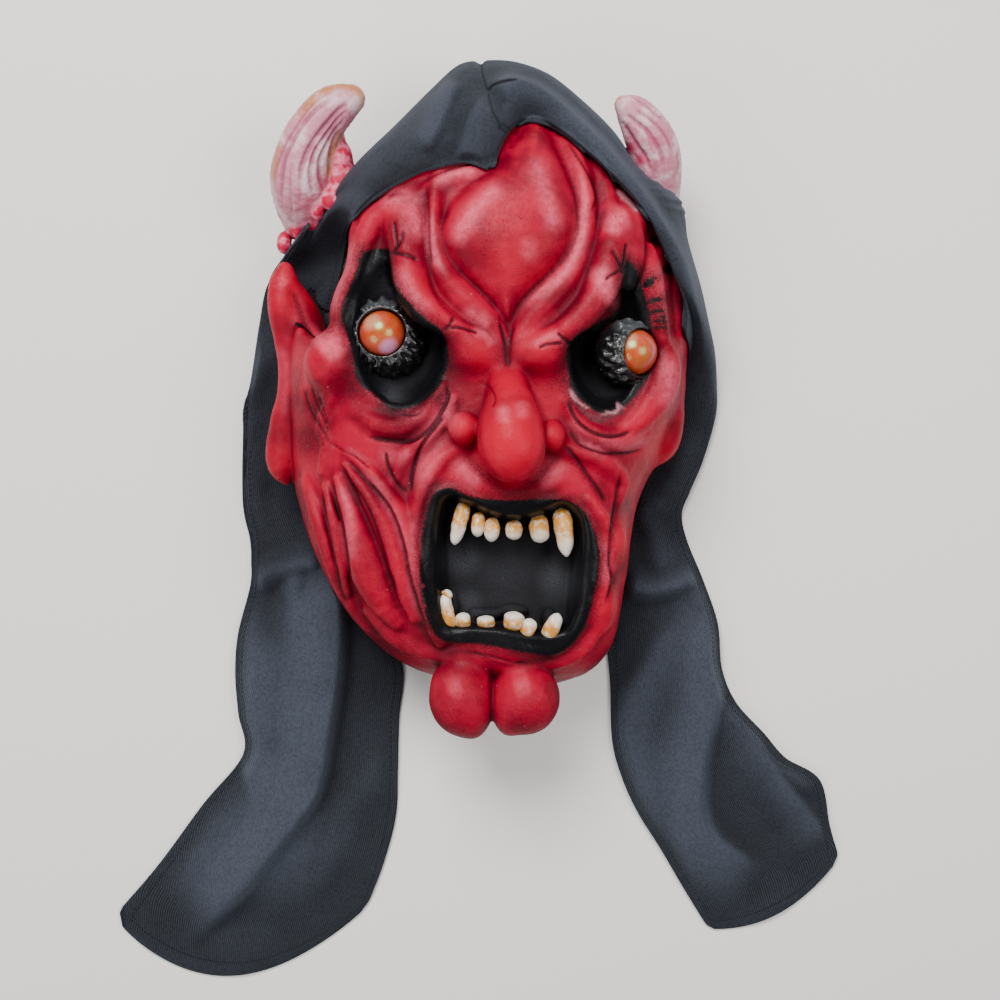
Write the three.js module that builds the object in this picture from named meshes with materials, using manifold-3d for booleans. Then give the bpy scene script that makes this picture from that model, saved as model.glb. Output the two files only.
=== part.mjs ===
// A latex devil mask with a black cloth hood, lying face up: millimetres, +Z out of the face, +Y to the crown.
// The origin is the centre of the underside of the whole part's box.
import * as THREE from "three";
import { mergeVertices } from "three/addons/utils/BufferGeometryUtils.js";
import Module from "manifold-3d";

// Driving sizes
const FACE_HEIGHT = 84; // from the rim's plane to the broad middle of the face
const WALL = 3; // of the latex
const LINING_INSET = 5; // of the lining's foot from the rim, which is thicker than the wall
const CLOTH = 3; // of the hood, folds and hems together
const GAP = 0.35; // between pieces that touch
const CLEARANCE = 0.8; // of the hood round the horns, the ears and the head
const RIM_LEVEL = CLOTH + GAP; // the rim lies on the hood
const CENTRE = [0, 60]; // of the rim's outline
const MOUTH_FLOOR = 60;
const GUM_LEVEL = 67;
const EYE_RADIUS = 11.3;
const EYES = { left: [-58.3, 82.3, 76], right: [66.5, 73.2, 76] };
const NECK_WIDTH = 100; // of the arch in the rim below the chin
const NECK_HEIGHT = 28;

// How finely the surfaces are divided
const FACE_NET = [14, 20]; // across and up
const LINING_NET = [10, 16];
const HOOD_STEPS = 40;
const HOOD_STRIPS = 6;
const MOUTH_STEPS = 24;

// The rim, from the crown down the left side to the chin and up the right side
const RIM = [
  [8, 214], [-30, 208], [-66, 188], [-97, 146], [-112, 95], [-114, 50], [-110, 5],
  [-97, -35], [-76, -68], [-46, -91], [-6, -99], [34, -98], [58, -82], [67, -45],
  [73, -6], [85, 22], [98, 58], [102, 105], [95, 148], [66, 188], [38, 207],
];

// Rounded forms on the face: place, half sizes, and how far they stand above the plain dome
const SWELLINGS = [
  { at: [-17, 73], size: [13, 12, 11], above: 9 },
  { at: [20, 71], size: [14, 12, 11], above: 9 },
  { at: [-86, 69], size: [15, 16, 16], above: 12 },
  { at: [87, 54], size: [13, 27, 16], above: 11 },
  { at: [62, -18], size: [10, 14, 12], above: 5 },
  { at: [60, -44], size: [9, 14, 12], above: 5 },
  { at: [-3, -84], size: [38, 12, 14], above: 4 },
];
const SOCKETS = [
  { at: [-50, 82], size: [27, 38, 31], above: 5 },
  { at: [50, 79], size: [22, 37, 30], above: 5 },
];
const LIDS = [
  { at: [-58.3, 82.3, 60], size: [19, 20, 20] },
  { at: [62, 73.5, 60], size: [17, 22, 20] },
];

// Folds along a route, each place with x, y, half width and height above the plain dome
const FOLDS = [
  [[-42, 160, 5, 1], [-39, 128, 7, 5], [-31, 107, 7, 6], [-14, 96, 6, 6], [2, 80, 4, 2]], // scroll, left
  [[52, 152, 5, 1], [49, 120, 7, 5], [37, 102, 7, 6], [18, 93, 6, 6], [5, 80, 4, 2]], // scroll, right
  [[-76, 94, 5, 2], [-71, 126, 8, 9], [-53, 147, 9, 10], [-46, 122, 12, 13], [-36, 100, 11, 12], [-19, 82, 9, 8]],
  [[82, 84, 6, 3], [78, 114, 8, 10], [66, 137, 9, 10], [54, 113, 12, 12], [43, 94, 11, 12], [25, 80, 9, 8]],
  [[-85, 16, 5, 2], [-79, -14, 9, 6], [-64, -42, 8, 5], [-50, -64, 4, 1]], // cheek, left
  [[-100, 24, 4, 2], [-99, -6, 7, 5], [-89, -34, 6, 4], [-70, -60, 4, 1]],
  [[-58, 16, 5, 2], [-54, -18, 7, 4], [-47, -52, 5, 1]],
  [[-30, 54, 5, 3], [-42, 38, 7, 5], [-50, 20, 6, 4], [-50, 2, 4, 1]], // beside the nose, left
  [[-76, 46, 5, 1], [-56, 36, 7, 4], [-40, 44, 5, 3]], // bag under the left eye
  [[34, 58, 4, 2], [42, 36, 7, 5], [52, 18, 6, 4], [56, 2, 4, 1]], // beside the nose, right
  [[50, 38, 5, 2], [62, 33, 6, 4], [74, 36, 5, 2]], // bag under the right eye
  [[57, 10, 5, 2], [56, -24, 7, 4], [50, -60, 5, 1]], // cheek, right
];
const BRIDGE = [[3, 70, 8, 3], [4, 54, 11, 13], [5, 38, 13, 20]];

// The flame on the forehead: a teardrop with its point at the crown
const FLAME = { foot: [4, 87], tip: [10, 192], halfWidth: 34, height: 13, belly: 0.65 };

// The mouth's outline, clockwise from its upper left corner
const MOUTH = [
  [-31, 4], [-12, 0], [8, -6], [27, -1], [40, -5], [47, -20], [48, -40], [42, -63],
  [32, -75], [12, -73], [-10, -70], [-29, -67], [-36, -52], [-39, -35], [-36, -12],
];
// The deeper middle of the mouth, between the gums
const THROAT = [[-31, -22], [5, -26], [42, -24], [40, -50], [4, -56], [-30, -50]];
// Teeth: place on the gum, half sizes, lean in degrees
const TEETH = [
  [-20.5, -11, 3.6, 12, 12], [-11.5, -12.5, 3.6, 7, 4], [-4, -14.5, 4.4, 7, 0],
  [7, -15, 4.8, 6, 0], [19.5, -15.5, 5.6, 8, 0], [31.5, -16, 5, 13.5, -5],
  [-25.5, -53, 3.6, 12, -4], [-18.5, -60, 4.6, 5, 0], [-7, -61, 5, 4.5, 0],
  [7, -60.5, 5.8, 6, 0], [15, -64, 4.2, 6.5, -10], [25.5, -62.5, 3.6, 9, -38],
];

// Bodies of round section along a route: x, y, z and radius at each place
const LEFT_HORN = [
  [-100, 136, 18, 11], [-105, 149, 33, 13], [-104, 165, 44, 15], [-101, 178, 50, 14.5],
  [-95, 191, 54, 13], [-86, 202, 57, 10], [-77, 207, 58, 6.5], [-71.5, 208, 58, 2],
];
const RIGHT_HORN = [
  [78, 146, 20, 10], [83, 157, 33, 12], [81, 171, 43, 13.5], [78, 183, 49, 12.5],
  [73, 194, 53, 10], [67, 202, 55, 7], [62, 206, 56, 3],
];
const LEFT_EAR = [
  [-111, 122, 38, 2], [-114, 115, 38, 6], [-115, 98, 37, 7.5], [-111, 74, 36, 6.5],
  [-111, 52, 35, 6.5], [-114, 30, 34, 8.5], [-115, 19, 34, 8], [-114, 11, 34, 3],
];
const RIGHT_EAR = [
  [97, 84, 32, 3], [98, 70, 31, 6], [96, 50, 30, 7.5], [89, 30, 30, 10.5], [85, 21, 30, 10], [82, 13, 30, 4],
];
const FLUTES = 6; // lengthwise grooves of a horn
const FLUTE_DEPTH = 0.07; // as a share of its radius

// The hood, from the left tail's hem over the crown to the right tail's hem: the edge beside the face
// (x, y, z), the outer edge on the ground (x, y), and how far the middle of the strip bows downwards
const HOOD = [
  [-72, -216, 3, -214, -231, -36], [-60, -192, 3, -184, -192, -18], [-58, -158, 3, -157, -157, -6],
  [-57, -123, 3, -145, -128, 0], [-54, -96, 3, -147, -95, 0], [-62, -72, 3, -145, -65, 0],
  [-97, -46, 4, -140, -40, 0], [-114, -6, 8, -140, -5, 0], [-116, 40, 12, -142, 38, 0],
  [-117, 85, 16, -139, 80, 0], [-112, 114, 28, -132, 112, 0], [-92, 133, 54, -121, 158, 0],
  [-66, 149, 74, -86, 188, 0], [-40, 162, 82, -42, 217, 0], [-10, 166, 88, -12, 234, 0],
  [3, 178, 90, 10, 235, 0], [22, 186, 86, 34, 225, 0], [48, 167, 82, 68, 203, 0],
  [70, 138, 74, 100, 172, 0], [87, 114, 60, 112, 132, 0], [97, 92, 50, 119, 98, 0],
  [102, 62, 30, 123, 62, 0], [95, 32, 12, 117, 30, 0], [77, 6, 8, 107, 0, 0],
  [66, -40, 3, 109, -36, 0], [58, -85, 3, 123, -80, 0], [60, -122, 3, 143, -116, 0],
  [69, -157, 3, 177, -150, 0], [86, -190, 3, 189, -180, 0], [114, -236, 3, 188, -208, -14],
];
// Folds along the hood: where they start and end along it, their place across it from the face's side, and height
const HOOD_FOLDS = [
  { from: 0, to: 0.19, across: 0.375, height: 17 },
  { from: 0, to: 0.12, across: 0.75, height: 13 },
  { from: 0.1, to: 0.24, across: 0.625, height: 9 },
  { from: 0.8, to: 1, across: 0.5, height: 15 },
  { from: 0.84, to: 0.99, across: 0.75, height: 12 },
  { from: 0.74, to: 0.85, across: 0.25, height: 7 },
];
const HOOD_FOLD_REACH = 0.17; // half its width, as a share of the strip's
// The back of the hood lies flat under the rim: the inner edge of that panel, from left to right
const PANEL_EDGE = [
  [-76, -50], [-88, -30], [-94, 10], [-84, 44], [-44, 62], [0, 66], [48, 62], [78, 46], [76, 12], [58, -40],
];

const wasm = await Module();
wasm.setup();

// Closed geometry as a solid that can be joined and cut
function solid(geometry) {
  geometry.deleteAttribute("normal");
  geometry.deleteAttribute("uv");
  const merged = mergeVertices(geometry, 1e-4);
  return new wasm.Manifold(
    new wasm.Mesh({
      numProp: 3,
      vertProperties: new Float32Array(merged.attributes.position.array),
      triVerts: new Uint32Array(merged.index.array),
    }),
  );
}

function geometryOf(manifold) {
  const mesh = manifold.getMesh();
  const geometry = new THREE.BufferGeometry();
  geometry.setAttribute("position", new THREE.BufferAttribute(new Float32Array(mesh.vertProperties), 3));
  geometry.setIndex(new THREE.BufferAttribute(new Uint32Array(mesh.triVerts), 1));
  geometry.computeVertexNormals();
  return geometry;
}

function indexed(points, faces) {
  const geometry = new THREE.BufferGeometry();
  geometry.setAttribute("position", new THREE.Float32BufferAttribute(points.flatMap((p) => [p.x, p.y, p.z]), 3));
  geometry.setIndex(faces);
  return geometry;
}

const joined = (solids) => solids.reduce((all, next) => all.add(next));
const flatCurve = (points, closed) =>
  new THREE.CatmullRomCurve3(points.map(([x, y]) => new THREE.Vector3(x, y, 0)), closed);

// How far out a point lies, from 0 at the centre to 1 on the rim
const rimCurve = flatCurve(RIM, true);
const RIM_SAMPLES = 240;
const rimReach = rimCurve
  .getSpacedPoints(RIM_SAMPLES)
  .slice(0, RIM_SAMPLES)
  .map((p) => ({
    angle: Math.atan2(p.y - CENTRE[1], p.x - CENTRE[0]),
    radius: Math.hypot(p.x - CENTRE[0], p.y - CENTRE[1]),
  }))
  .sort((a, b) => a.angle - b.angle);

function rimRadius(angle) {
  const after = rimReach.findIndex((sample) => sample.angle >= angle);
  const b = rimReach[after < 0 ? 0 : after];
  const a = rimReach[(after < 0 ? 0 : after) === 0 ? RIM_SAMPLES - 1 : after - 1];
  const turn = (value) => (value + 2 * Math.PI) % (2 * Math.PI);
  const share = turn(angle - a.angle) / Math.max(turn(b.angle - a.angle), 1e-6);
  return a.radius + (b.radius - a.radius) * Math.min(share, 1);
}

function reach(x, y) {
  const angle = Math.atan2(y - CENTRE[1], x - CENTRE[0]);
  return Math.hypot(x - CENTRE[0], y - CENTRE[1]) / rimRadius(angle);
}

// The plain dome of the face: flatter and steeper at the chin than round the crown
function dome(x, y, height, edge = 0.42) {
  const out = Math.min(reach(x, y), 1);
  const angle = Math.atan2(y - CENTRE[1], x - CENTRE[0]);
  const fullness = 4 + 3 * Math.max(0, -Math.sin(angle)) ** 2;
  return height * (1 - out ** fullness) ** edge;
}

// The half width and the height of the flame at a point along it, from its foot to its tip
function flameSize(along) {
  const halfWidth = FLAME.halfWidth * Math.sin(Math.PI * along ** FLAME.belly);
  return [halfWidth, FLAME.height * Math.sqrt(halfWidth / FLAME.halfWidth)];
}

function flameHeight(x, y) {
  const along = (y - FLAME.foot[1]) / (FLAME.tip[1] - FLAME.foot[1]);
  if (along <= 0 || along >= 1) return 0;
  const [halfWidth, height] = flameSize(along);
  const away = Math.abs(x - THREE.MathUtils.lerp(FLAME.foot[0], FLAME.tip[0], along)) / halfWidth;
  return away >= 1 ? 0 : height * Math.sqrt(1 - away * away);
}

const faceLevel = (x, y) => RIM_LEVEL + dome(x, y, FACE_HEIGHT);
const liningHeight = (x, y) => dome(x, y, FACE_HEIGHT - WALL, 0.5);

// A closed dome over the rim's outline, its surface given by a height function: a square net whose edge
// is drawn out to the rim
function domeSolid([across, up], inset, height, level, foot) {
  const points = [];
  for (let row = 0; row <= up; row++) {
    for (let column = 0; column <= across; column++) {
      const [u, v] = [(2 * column) / across - 1, (2 * row) / up - 1];
      const [discX, discY] = [u * Math.sqrt(1 - (v * v) / 2), v * Math.sqrt(1 - (u * u) / 2)];
      const out = Math.min(Math.hypot(discX, discY), 1);
      const angle = Math.atan2(discY, discX);
      const radius = (rimRadius(angle) - inset) * (1 - (1 - out) ** 1.25);
      const x = CENTRE[0] + radius * Math.cos(angle);
      const y = CENTRE[1] + radius * Math.sin(angle);
      const onRim = row === 0 || row === up || column === 0 || column === across;
      points.push(new THREE.Vector3(x, y, onRim ? foot : level + height(x, y)));
    }
  }
  points.push(new THREE.Vector3(CENTRE[0], CENTRE[1], foot));
  const faces = [];
  const at = (row, column) => row * (across + 1) + column;
  const middle = points.length - 1;
  for (let row = 0; row < up; row++) {
    for (let column = 0; column < across; column++) {
      faces.push(at(row, column), at(row, column + 1), at(row + 1, column + 1));
      faces.push(at(row, column), at(row + 1, column + 1), at(row + 1, column));
    }
    faces.push(middle, at(row, 0), at(row + 1, 0));
    faces.push(middle, at(row + 1, across), at(row, across));
  }
  for (let column = 0; column < across; column++) {
    faces.push(middle, at(0, column + 1), at(0, column));
    faces.push(middle, at(up, column), at(up, column + 1));
  }
  return solid(indexed(points, faces));
}

function ball([x, y, z], [rx, ry, rz], around, high, lean = 0) {
  const geometry = new THREE.SphereGeometry(1, around, high);
  geometry.rotateX(Math.PI / 2);
  geometry.scale(rx, ry, rz);
  geometry.rotateZ(THREE.MathUtils.degToRad(lean));
  geometry.translate(x, y, z);
  return solid(geometry);
}

// A body of round section along a route, with lengthwise grooves if any
function tapered(stations, sides, steps, grooves = 0) {
  const route = new THREE.CatmullRomCurve3(stations.map(([x, y, z]) => new THREE.Vector3(x, y, z)));
  const radii = new THREE.CatmullRomCurve3(stations.map((s, i) => new THREE.Vector3(i, s[3], 0)));
  const frames = route.computeFrenetFrames(steps, false);
  const points = [route.getPointAt(0)];
  for (let step = 0; step <= steps; step++) {
    const share = step / steps;
    const middle = route.getPointAt(share);
    const radius = radii.getPoint(route.getUtoTmapping(share)).y;
    for (let side = 0; side < sides; side++) {
      const angle = (2 * Math.PI * side) / sides;
      const groove = 1 - (grooves ? FLUTE_DEPTH * (1 - Math.cos(grooves * angle)) : 0);
      const across = frames.normals[step].clone().multiplyScalar(Math.cos(angle));
      across.addScaledVector(frames.binormals[step], Math.sin(angle));
      points.push(middle.clone().addScaledVector(across, radius * groove));
    }
  }
  points.push(route.getPointAt(1));
  const faces = [];
  const at = (step, side) => 1 + step * sides + (side % sides);
  for (let side = 0; side < sides; side++) {
    faces.push(0, at(0, side + 1), at(0, side));
    for (let step = 0; step < steps; step++) {
      faces.push(at(step, side), at(step, side + 1), at(step + 1, side + 1));
      faces.push(at(step, side), at(step + 1, side + 1), at(step + 1, side));
    }
    faces.push(points.length - 1, at(steps, side), at(steps, side + 1));
  }
  return solid(indexed(points, faces));
}

// An upright prism over a closed outline
function prism(outline, bottom, top) {
  const shape = new THREE.Shape(outline.map(([x, y]) => new THREE.Vector2(x, y)));
  const geometry = new THREE.ExtrudeGeometry(shape, { depth: top - bottom, bevelEnabled: false });
  geometry.translate(0, 0, bottom);
  return solid(geometry);
}

function widened(outline, by) {
  const middle = outline.reduce(([sx, sy], [x, y]) => [sx + x / outline.length, sy + y / outline.length], [0, 0]);
  return outline.map(([x, y]) => {
    const away = Math.hypot(x - middle[0], y - middle[1]);
    return [x + ((x - middle[0]) * by) / away, y + ((y - middle[1]) * by) / away];
  });
}

const rounded = (outline, steps) =>
  flatCurve(outline, true)
    .getSpacedPoints(steps)
    .slice(0, steps)
    .map((p) => [p.x, p.y]);
const mouthOutline = rounded(MOUTH, MOUTH_STEPS);

// Everything that the latex stands out with past its dome
function headForms() {
  return [
    tapered(LEFT_HORN, 12, 8, FLUTES),
    tapered(RIGHT_HORN, 12, 7, FLUTES),
    tapered(LEFT_EAR, 8, 7),
    ball([-105, 78, 31], [13, 34, 8], 10, 6),
    tapered(RIGHT_EAR, 8, 5),
    ball([-19.5, -98.5, 66], [16.5, 20.5, 20], 10, 7),
    ball([12.5, -100, 66], [17.5, 18, 19], 10, 7),
  ];
}

// A form whose top stands a given height above the dome
const onFace = ({ at: [x, y], size, above }, grow = 0) =>
  ball([x, y, faceLevel(x, y) + above - size[2]], size.map((half) => half + grow), 10, 6);

const socket = ({ at: [x, y], size, above }, grow = 0) =>
  ball([x, y, faceLevel(x, y) + above], size.map((half) => half + grow), 12, 7);

function foldBody(stations, sides = 6, steps = 4) {
  return tapered(
    stations.map(([x, y, halfWidth, above]) => [x, y, faceLevel(x, y) + above - halfWidth, halfWidth]),
    sides,
    steps,
  );
}

// The flame is a thick leaf whose edge is sunk into the dome
function flameBody() {
  const [rows, columns, sunk, thickness] = [7, 6, 1, 6];
  const grid = [];
  for (let row = 0; row <= rows; row++) {
    const along = 0.02 + (0.96 * row) / rows;
    const [halfWidth, height] = flameSize(along);
    const [middle, y] = [0, 1].map((axis) => THREE.MathUtils.lerp(FLAME.foot[axis], FLAME.tip[axis], along));
    const points = [];
    for (let column = 0; column <= columns; column++) {
      const turn = Math.PI * (column / columns - 0.5);
      const x = middle - halfWidth * Math.sin(turn);
      points.push(new THREE.Vector3(x, y, faceLevel(x, y) + height * Math.cos(turn) - sunk));
    }
    grid.push(points);
  }
  return sheetSolid(grid, thickness);
}

function faceForms() {
  return [
    flameBody(),
    ...FOLDS.map((stations) => foldBody(stations)),
    foldBody(BRIDGE, 8, 4),
    ...SWELLINGS.map((form) => onFace(form)),
    ...LIDS.map(({ at, size }) => ball(at, size, 12, 7)),
    ball([5, 29, 103], [16, 21, 17], 12, 8),
    ball([-17.5, 34, 92], [7.5, 8, 9], 8, 6),
    ball([26, 30.5, 92], [6.5, 7.5, 8.5], 8, 6),
  ];
}

const teeth = () => TEETH.map(([x, y, rx, ry, lean]) => ball([x, y, GUM_LEVEL], [rx, ry, 8], 6, 4, lean));

function neckArch() {
  const radius = ((NECK_WIDTH / 2) ** 2 + NECK_HEIGHT ** 2) / (2 * NECK_HEIGHT);
  const geometry = new THREE.CylinderGeometry(radius, radius, 90, 32);
  geometry.translate(-4, -95, NECK_HEIGHT - radius);
  return solid(geometry);
}

function eyeSeats(grow) {
  return Object.values(EYES).map((at) => ball(at, Array(3).fill(EYE_RADIUS + grow), 12, 8));
}

const plainFace = () => domeSolid(FACE_NET, 0, (x, y) => dome(x, y, FACE_HEIGHT), RIM_LEVEL, RIM_LEVEL);
const cutAway = (body, cuts) => cuts.reduce((left, cut) => left.subtract(cut), body);

function maskSolid() {
  const sunk = cutAway(plainFace(), SOCKETS.map((form) => socket(form)));
  const top = FACE_HEIGHT + 30; // above every form on the face
  const mouth = prism(mouthOutline, GUM_LEVEL, top);
  const throat = prism(rounded(THROAT, 14), MOUTH_FLOOR, GUM_LEVEL + 1);
  const face = joined([cutAway(joined([sunk, ...faceForms()]), [mouth, throat]), ...headForms(), ...teeth()]);
  // The lining stays a wall away from the mouth's recess, from the sockets and from the eyes
  const lining = cutAway(domeSolid(LINING_NET, LINING_INSET, liningHeight, RIM_LEVEL, -10), [
    prism(widened(rounded(MOUTH, 16), WALL + 1), MOUTH_FLOOR - WALL, top),
    ...SOCKETS.map((form) => socket(form, WALL)),
    ...eyeSeats(WALL),
  ]);
  const below = prism([[-300, -300], [300, -300], [300, 300], [-300, 300]], -40, RIM_LEVEL);
  return largest(cutAway(face, [lining, neckArch(), below, ...eyeSeats(GAP)]));
}

function largest(manifold) {
  return manifold.decompose().reduce((most, piece) => (piece.volume() > most.volume() ? piece : most));
}

// A sheet of cloth over a grid of points, closed all round
function sheetSolid(grid, thickness) {
  const [rows, columns] = [grid.length, grid[0].length];
  const under = grid.map((row, i) =>
    row.map((point, j) => {
      const along = grid[Math.min(i + 1, rows - 1)][j].clone().sub(grid[Math.max(i - 1, 0)][j]);
      const across = row[Math.min(j + 1, columns - 1)].clone().sub(row[Math.max(j - 1, 0)]);
      const normal = along.cross(across).normalize();
      const below = point.clone().addScaledVector(normal, normal.z > 0 ? -thickness : thickness);
      below.z = Math.min(Math.max(below.z, 0), point.z - 0.6);
      return below;
    }),
  );
  const points = [...grid.flat(), ...under.flat()];
  const top = (i, j) => i * columns + j;
  const bottom = (i, j) => rows * columns + i * columns + j;
  const faces = [];
  const quad = (a, b, c, d) => faces.push(a, b, c, a, c, d);
  for (let i = 0; i + 1 < rows; i++) {
    for (let j = 0; j + 1 < columns; j++) {
      quad(top(i, j), top(i + 1, j), top(i + 1, j + 1), top(i, j + 1));
      quad(bottom(i, j), bottom(i, j + 1), bottom(i + 1, j + 1), bottom(i + 1, j));
    }
    quad(top(i, 0), bottom(i, 0), bottom(i + 1, 0), top(i + 1, 0));
    quad(top(i, columns - 1), top(i + 1, columns - 1), bottom(i + 1, columns - 1), bottom(i, columns - 1));
  }
  for (let j = 0; j + 1 < columns; j++) {
    quad(top(0, j), top(0, j + 1), bottom(0, j + 1), bottom(0, j));
    quad(top(rows - 1, j), bottom(rows - 1, j), bottom(rows - 1, j + 1), top(rows - 1, j + 1));
  }
  return solid(indexed(points, faces));
}

function hoodFold({ from, to, across, height }, along, share) {
  const away = (share - across) / HOOD_FOLD_REACH;
  if (Math.abs(away) >= 1 || along < from || along > to) return 0;
  const ends = Math.min(1, (along - from + (from === 0 ? 1 : 0)) * 25, (to - along + (to === 1 ? 1 : 0)) * 25);
  return height * (1 - away * away) * ends;
}

function hoodGrid() {
  const inner = new THREE.CatmullRomCurve3(HOOD.map(([x, y, z]) => new THREE.Vector3(x, y, z)));
  const outer = new THREE.CatmullRomCurve3(HOOD.map((row) => new THREE.Vector3(row[3], row[4], row[5])));
  const grid = [];
  for (let step = 0; step <= HOOD_STEPS; step++) {
    const inside = inner.getPoint(step / HOOD_STEPS);
    const outside = outer.getPoint(step / HOOD_STEPS);
    const row = [];
    for (let strip = 0; strip <= HOOD_STRIPS; strip++) {
      const share = strip / HOOD_STRIPS;
      const x = THREE.MathUtils.lerp(inside.x, outside.x, share);
      const bow = outside.z * Math.sin(Math.PI * share);
      const y = THREE.MathUtils.lerp(inside.y, outside.y, share) + bow;
      const fall = (1 - share ** 4) ** 0.5;
      const onHead = reach(x, y) < 0.98 ? faceLevel(x, y) + flameHeight(x, y) + CLOTH + 2 * CLEARANCE : 0;
      const drape = CLOTH + Math.max(inside.z - CLOTH, 0) * fall;
      const folds = HOOD_FOLDS.reduce((total, form) => total + hoodFold(form, step / HOOD_STEPS, share), 0);
      row.push(new THREE.Vector3(x, y, (inside.z > 4 ? Math.max(drape, onHead) : drape) + folds));
    }
    grid.push(row);
  }
  return grid;
}

function hoodPanel() {
  const outer = flatCurve(HOOD.slice(6, 25).map((row) => [row[3], row[4]]), false).getSpacedPoints(40);
  const inner = flatCurve(PANEL_EDGE, false).getSpacedPoints(24).reverse();
  const outline = [...outer, ...inner].map((p) => [p.x, p.y]);
  return prism(outline, 0, CLOTH);
}

function hoodSolid() {
  const cloth = sheetSolid(hoodGrid(), CLOTH).add(hoodPanel());
  const head = joined([plainFace(), ...faceForms(), ...headForms()]);
  const shifts = [[0, 0, 0], [1, 0, 0], [-1, 0, 0], [0, 1, 0], [0, -1, 0], [0, 0, 1]];
  const room = joined(shifts.map((shift) => head.translate(shift.map((step) => step * CLEARANCE))));
  return largest(cloth.subtract(room));
}

function piece(name, manifold, colour, roughness) {
  const material = new THREE.MeshStandardMaterial({ color: colour, roughness, metalness: 0 });
  const mesh = new THREE.Mesh(geometryOf(manifold), material);
  mesh.name = name;
  return mesh;
}

const part = new THREE.Group();
part.add(piece("mask", maskSolid(), 0xb81e33, 0.45));
part.add(piece("hood", hoodSolid(), 0x1b1e24, 0.9));
for (const [side, at] of Object.entries(EYES)) {
  part.add(piece(`eye_${side}`, ball(at, Array(3).fill(EYE_RADIUS), 12, 8), 0xe8864f, 0.1));
}

const box = new THREE.Box3().setFromObject(part);
part.position.set(-(box.min.x + box.max.x) / 2, -(box.min.y + box.max.y) / 2, -box.min.z);
export default part;
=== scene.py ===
"""A latex devil mask with a black cloth hood, lying face up on a pale floor.

Sizes are in millimetres until a mesh is made. Routes and outlines are given as they appear to the camera:
thousandths of the picture's side across and down. The function seen() sets such a place on the surface.
"""
import itertools
import math
import bpy
import numpy as np
import openvdb as vdb
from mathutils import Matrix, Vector


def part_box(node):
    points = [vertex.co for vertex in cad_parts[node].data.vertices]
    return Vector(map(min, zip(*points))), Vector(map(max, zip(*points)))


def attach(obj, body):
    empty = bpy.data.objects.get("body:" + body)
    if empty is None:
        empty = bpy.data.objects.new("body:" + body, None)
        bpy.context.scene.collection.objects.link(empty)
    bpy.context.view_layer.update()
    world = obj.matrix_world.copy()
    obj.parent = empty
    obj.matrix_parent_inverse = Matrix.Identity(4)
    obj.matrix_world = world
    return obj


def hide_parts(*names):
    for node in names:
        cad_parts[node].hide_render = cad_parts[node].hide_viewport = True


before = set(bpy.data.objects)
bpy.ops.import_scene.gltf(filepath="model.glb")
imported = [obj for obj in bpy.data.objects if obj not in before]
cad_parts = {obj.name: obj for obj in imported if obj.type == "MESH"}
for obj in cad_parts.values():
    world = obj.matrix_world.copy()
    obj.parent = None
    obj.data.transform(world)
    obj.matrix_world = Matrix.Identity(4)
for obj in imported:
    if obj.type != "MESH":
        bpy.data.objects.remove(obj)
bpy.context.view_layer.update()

# The camera looks straight down from here; the picture's side covers VIEW_WIDTH on the floor
CAMERA_HEIGHT = 700
VIEW_WIDTH = 555
PICTURE = 1000

# Driving sizes, as in the CAD model
FACE_HEIGHT = 84
WALL = 3
RIM_LEVEL = 3.35
CENTRE = (0, 60)
EYE_RADIUS = 11.3
SEAT_GAP = 0.4
EYES = {"left": (-58.3, 82.3, 76), "right": (66.5, 73.2, 76)}
NECK_WIDTH = 100
NECK_HEIGHT = 28
NECK_MIDDLE = -4
NECK_DEPTH = -48  # how far up the face the neck's arch reaches
CLOTH = 1.3

RIM = [
    (8, 214), (-30, 208), (-66, 188), (-97, 146), (-112, 95), (-114, 50), (-110, 5), (-97, -35), (-76, -68),
    (-46, -91), (-6, -99), (34, -98), (58, -82), (67, -45), (73, -6), (85, 22), (98, 58), (102, 105),
    (95, 148), (66, 188), (38, 207),
]

# The bulge on the forehead
BULGE = [
    (531, 120), (519, 134), (509, 152), (491, 171), (466, 190), (449, 211), (441, 232), (446, 254),
    (459, 271), (477, 287), (494, 304), (508, 322), (518, 304), (536, 285), (557, 267), (573, 245),
    (578, 224), (575, 200), (566, 175), (554, 148), (543, 126),
]
BULGE_HEIGHT = 13
BULGE_EDGE = 24  # how far in from its outline the bulge goes on rising

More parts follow.
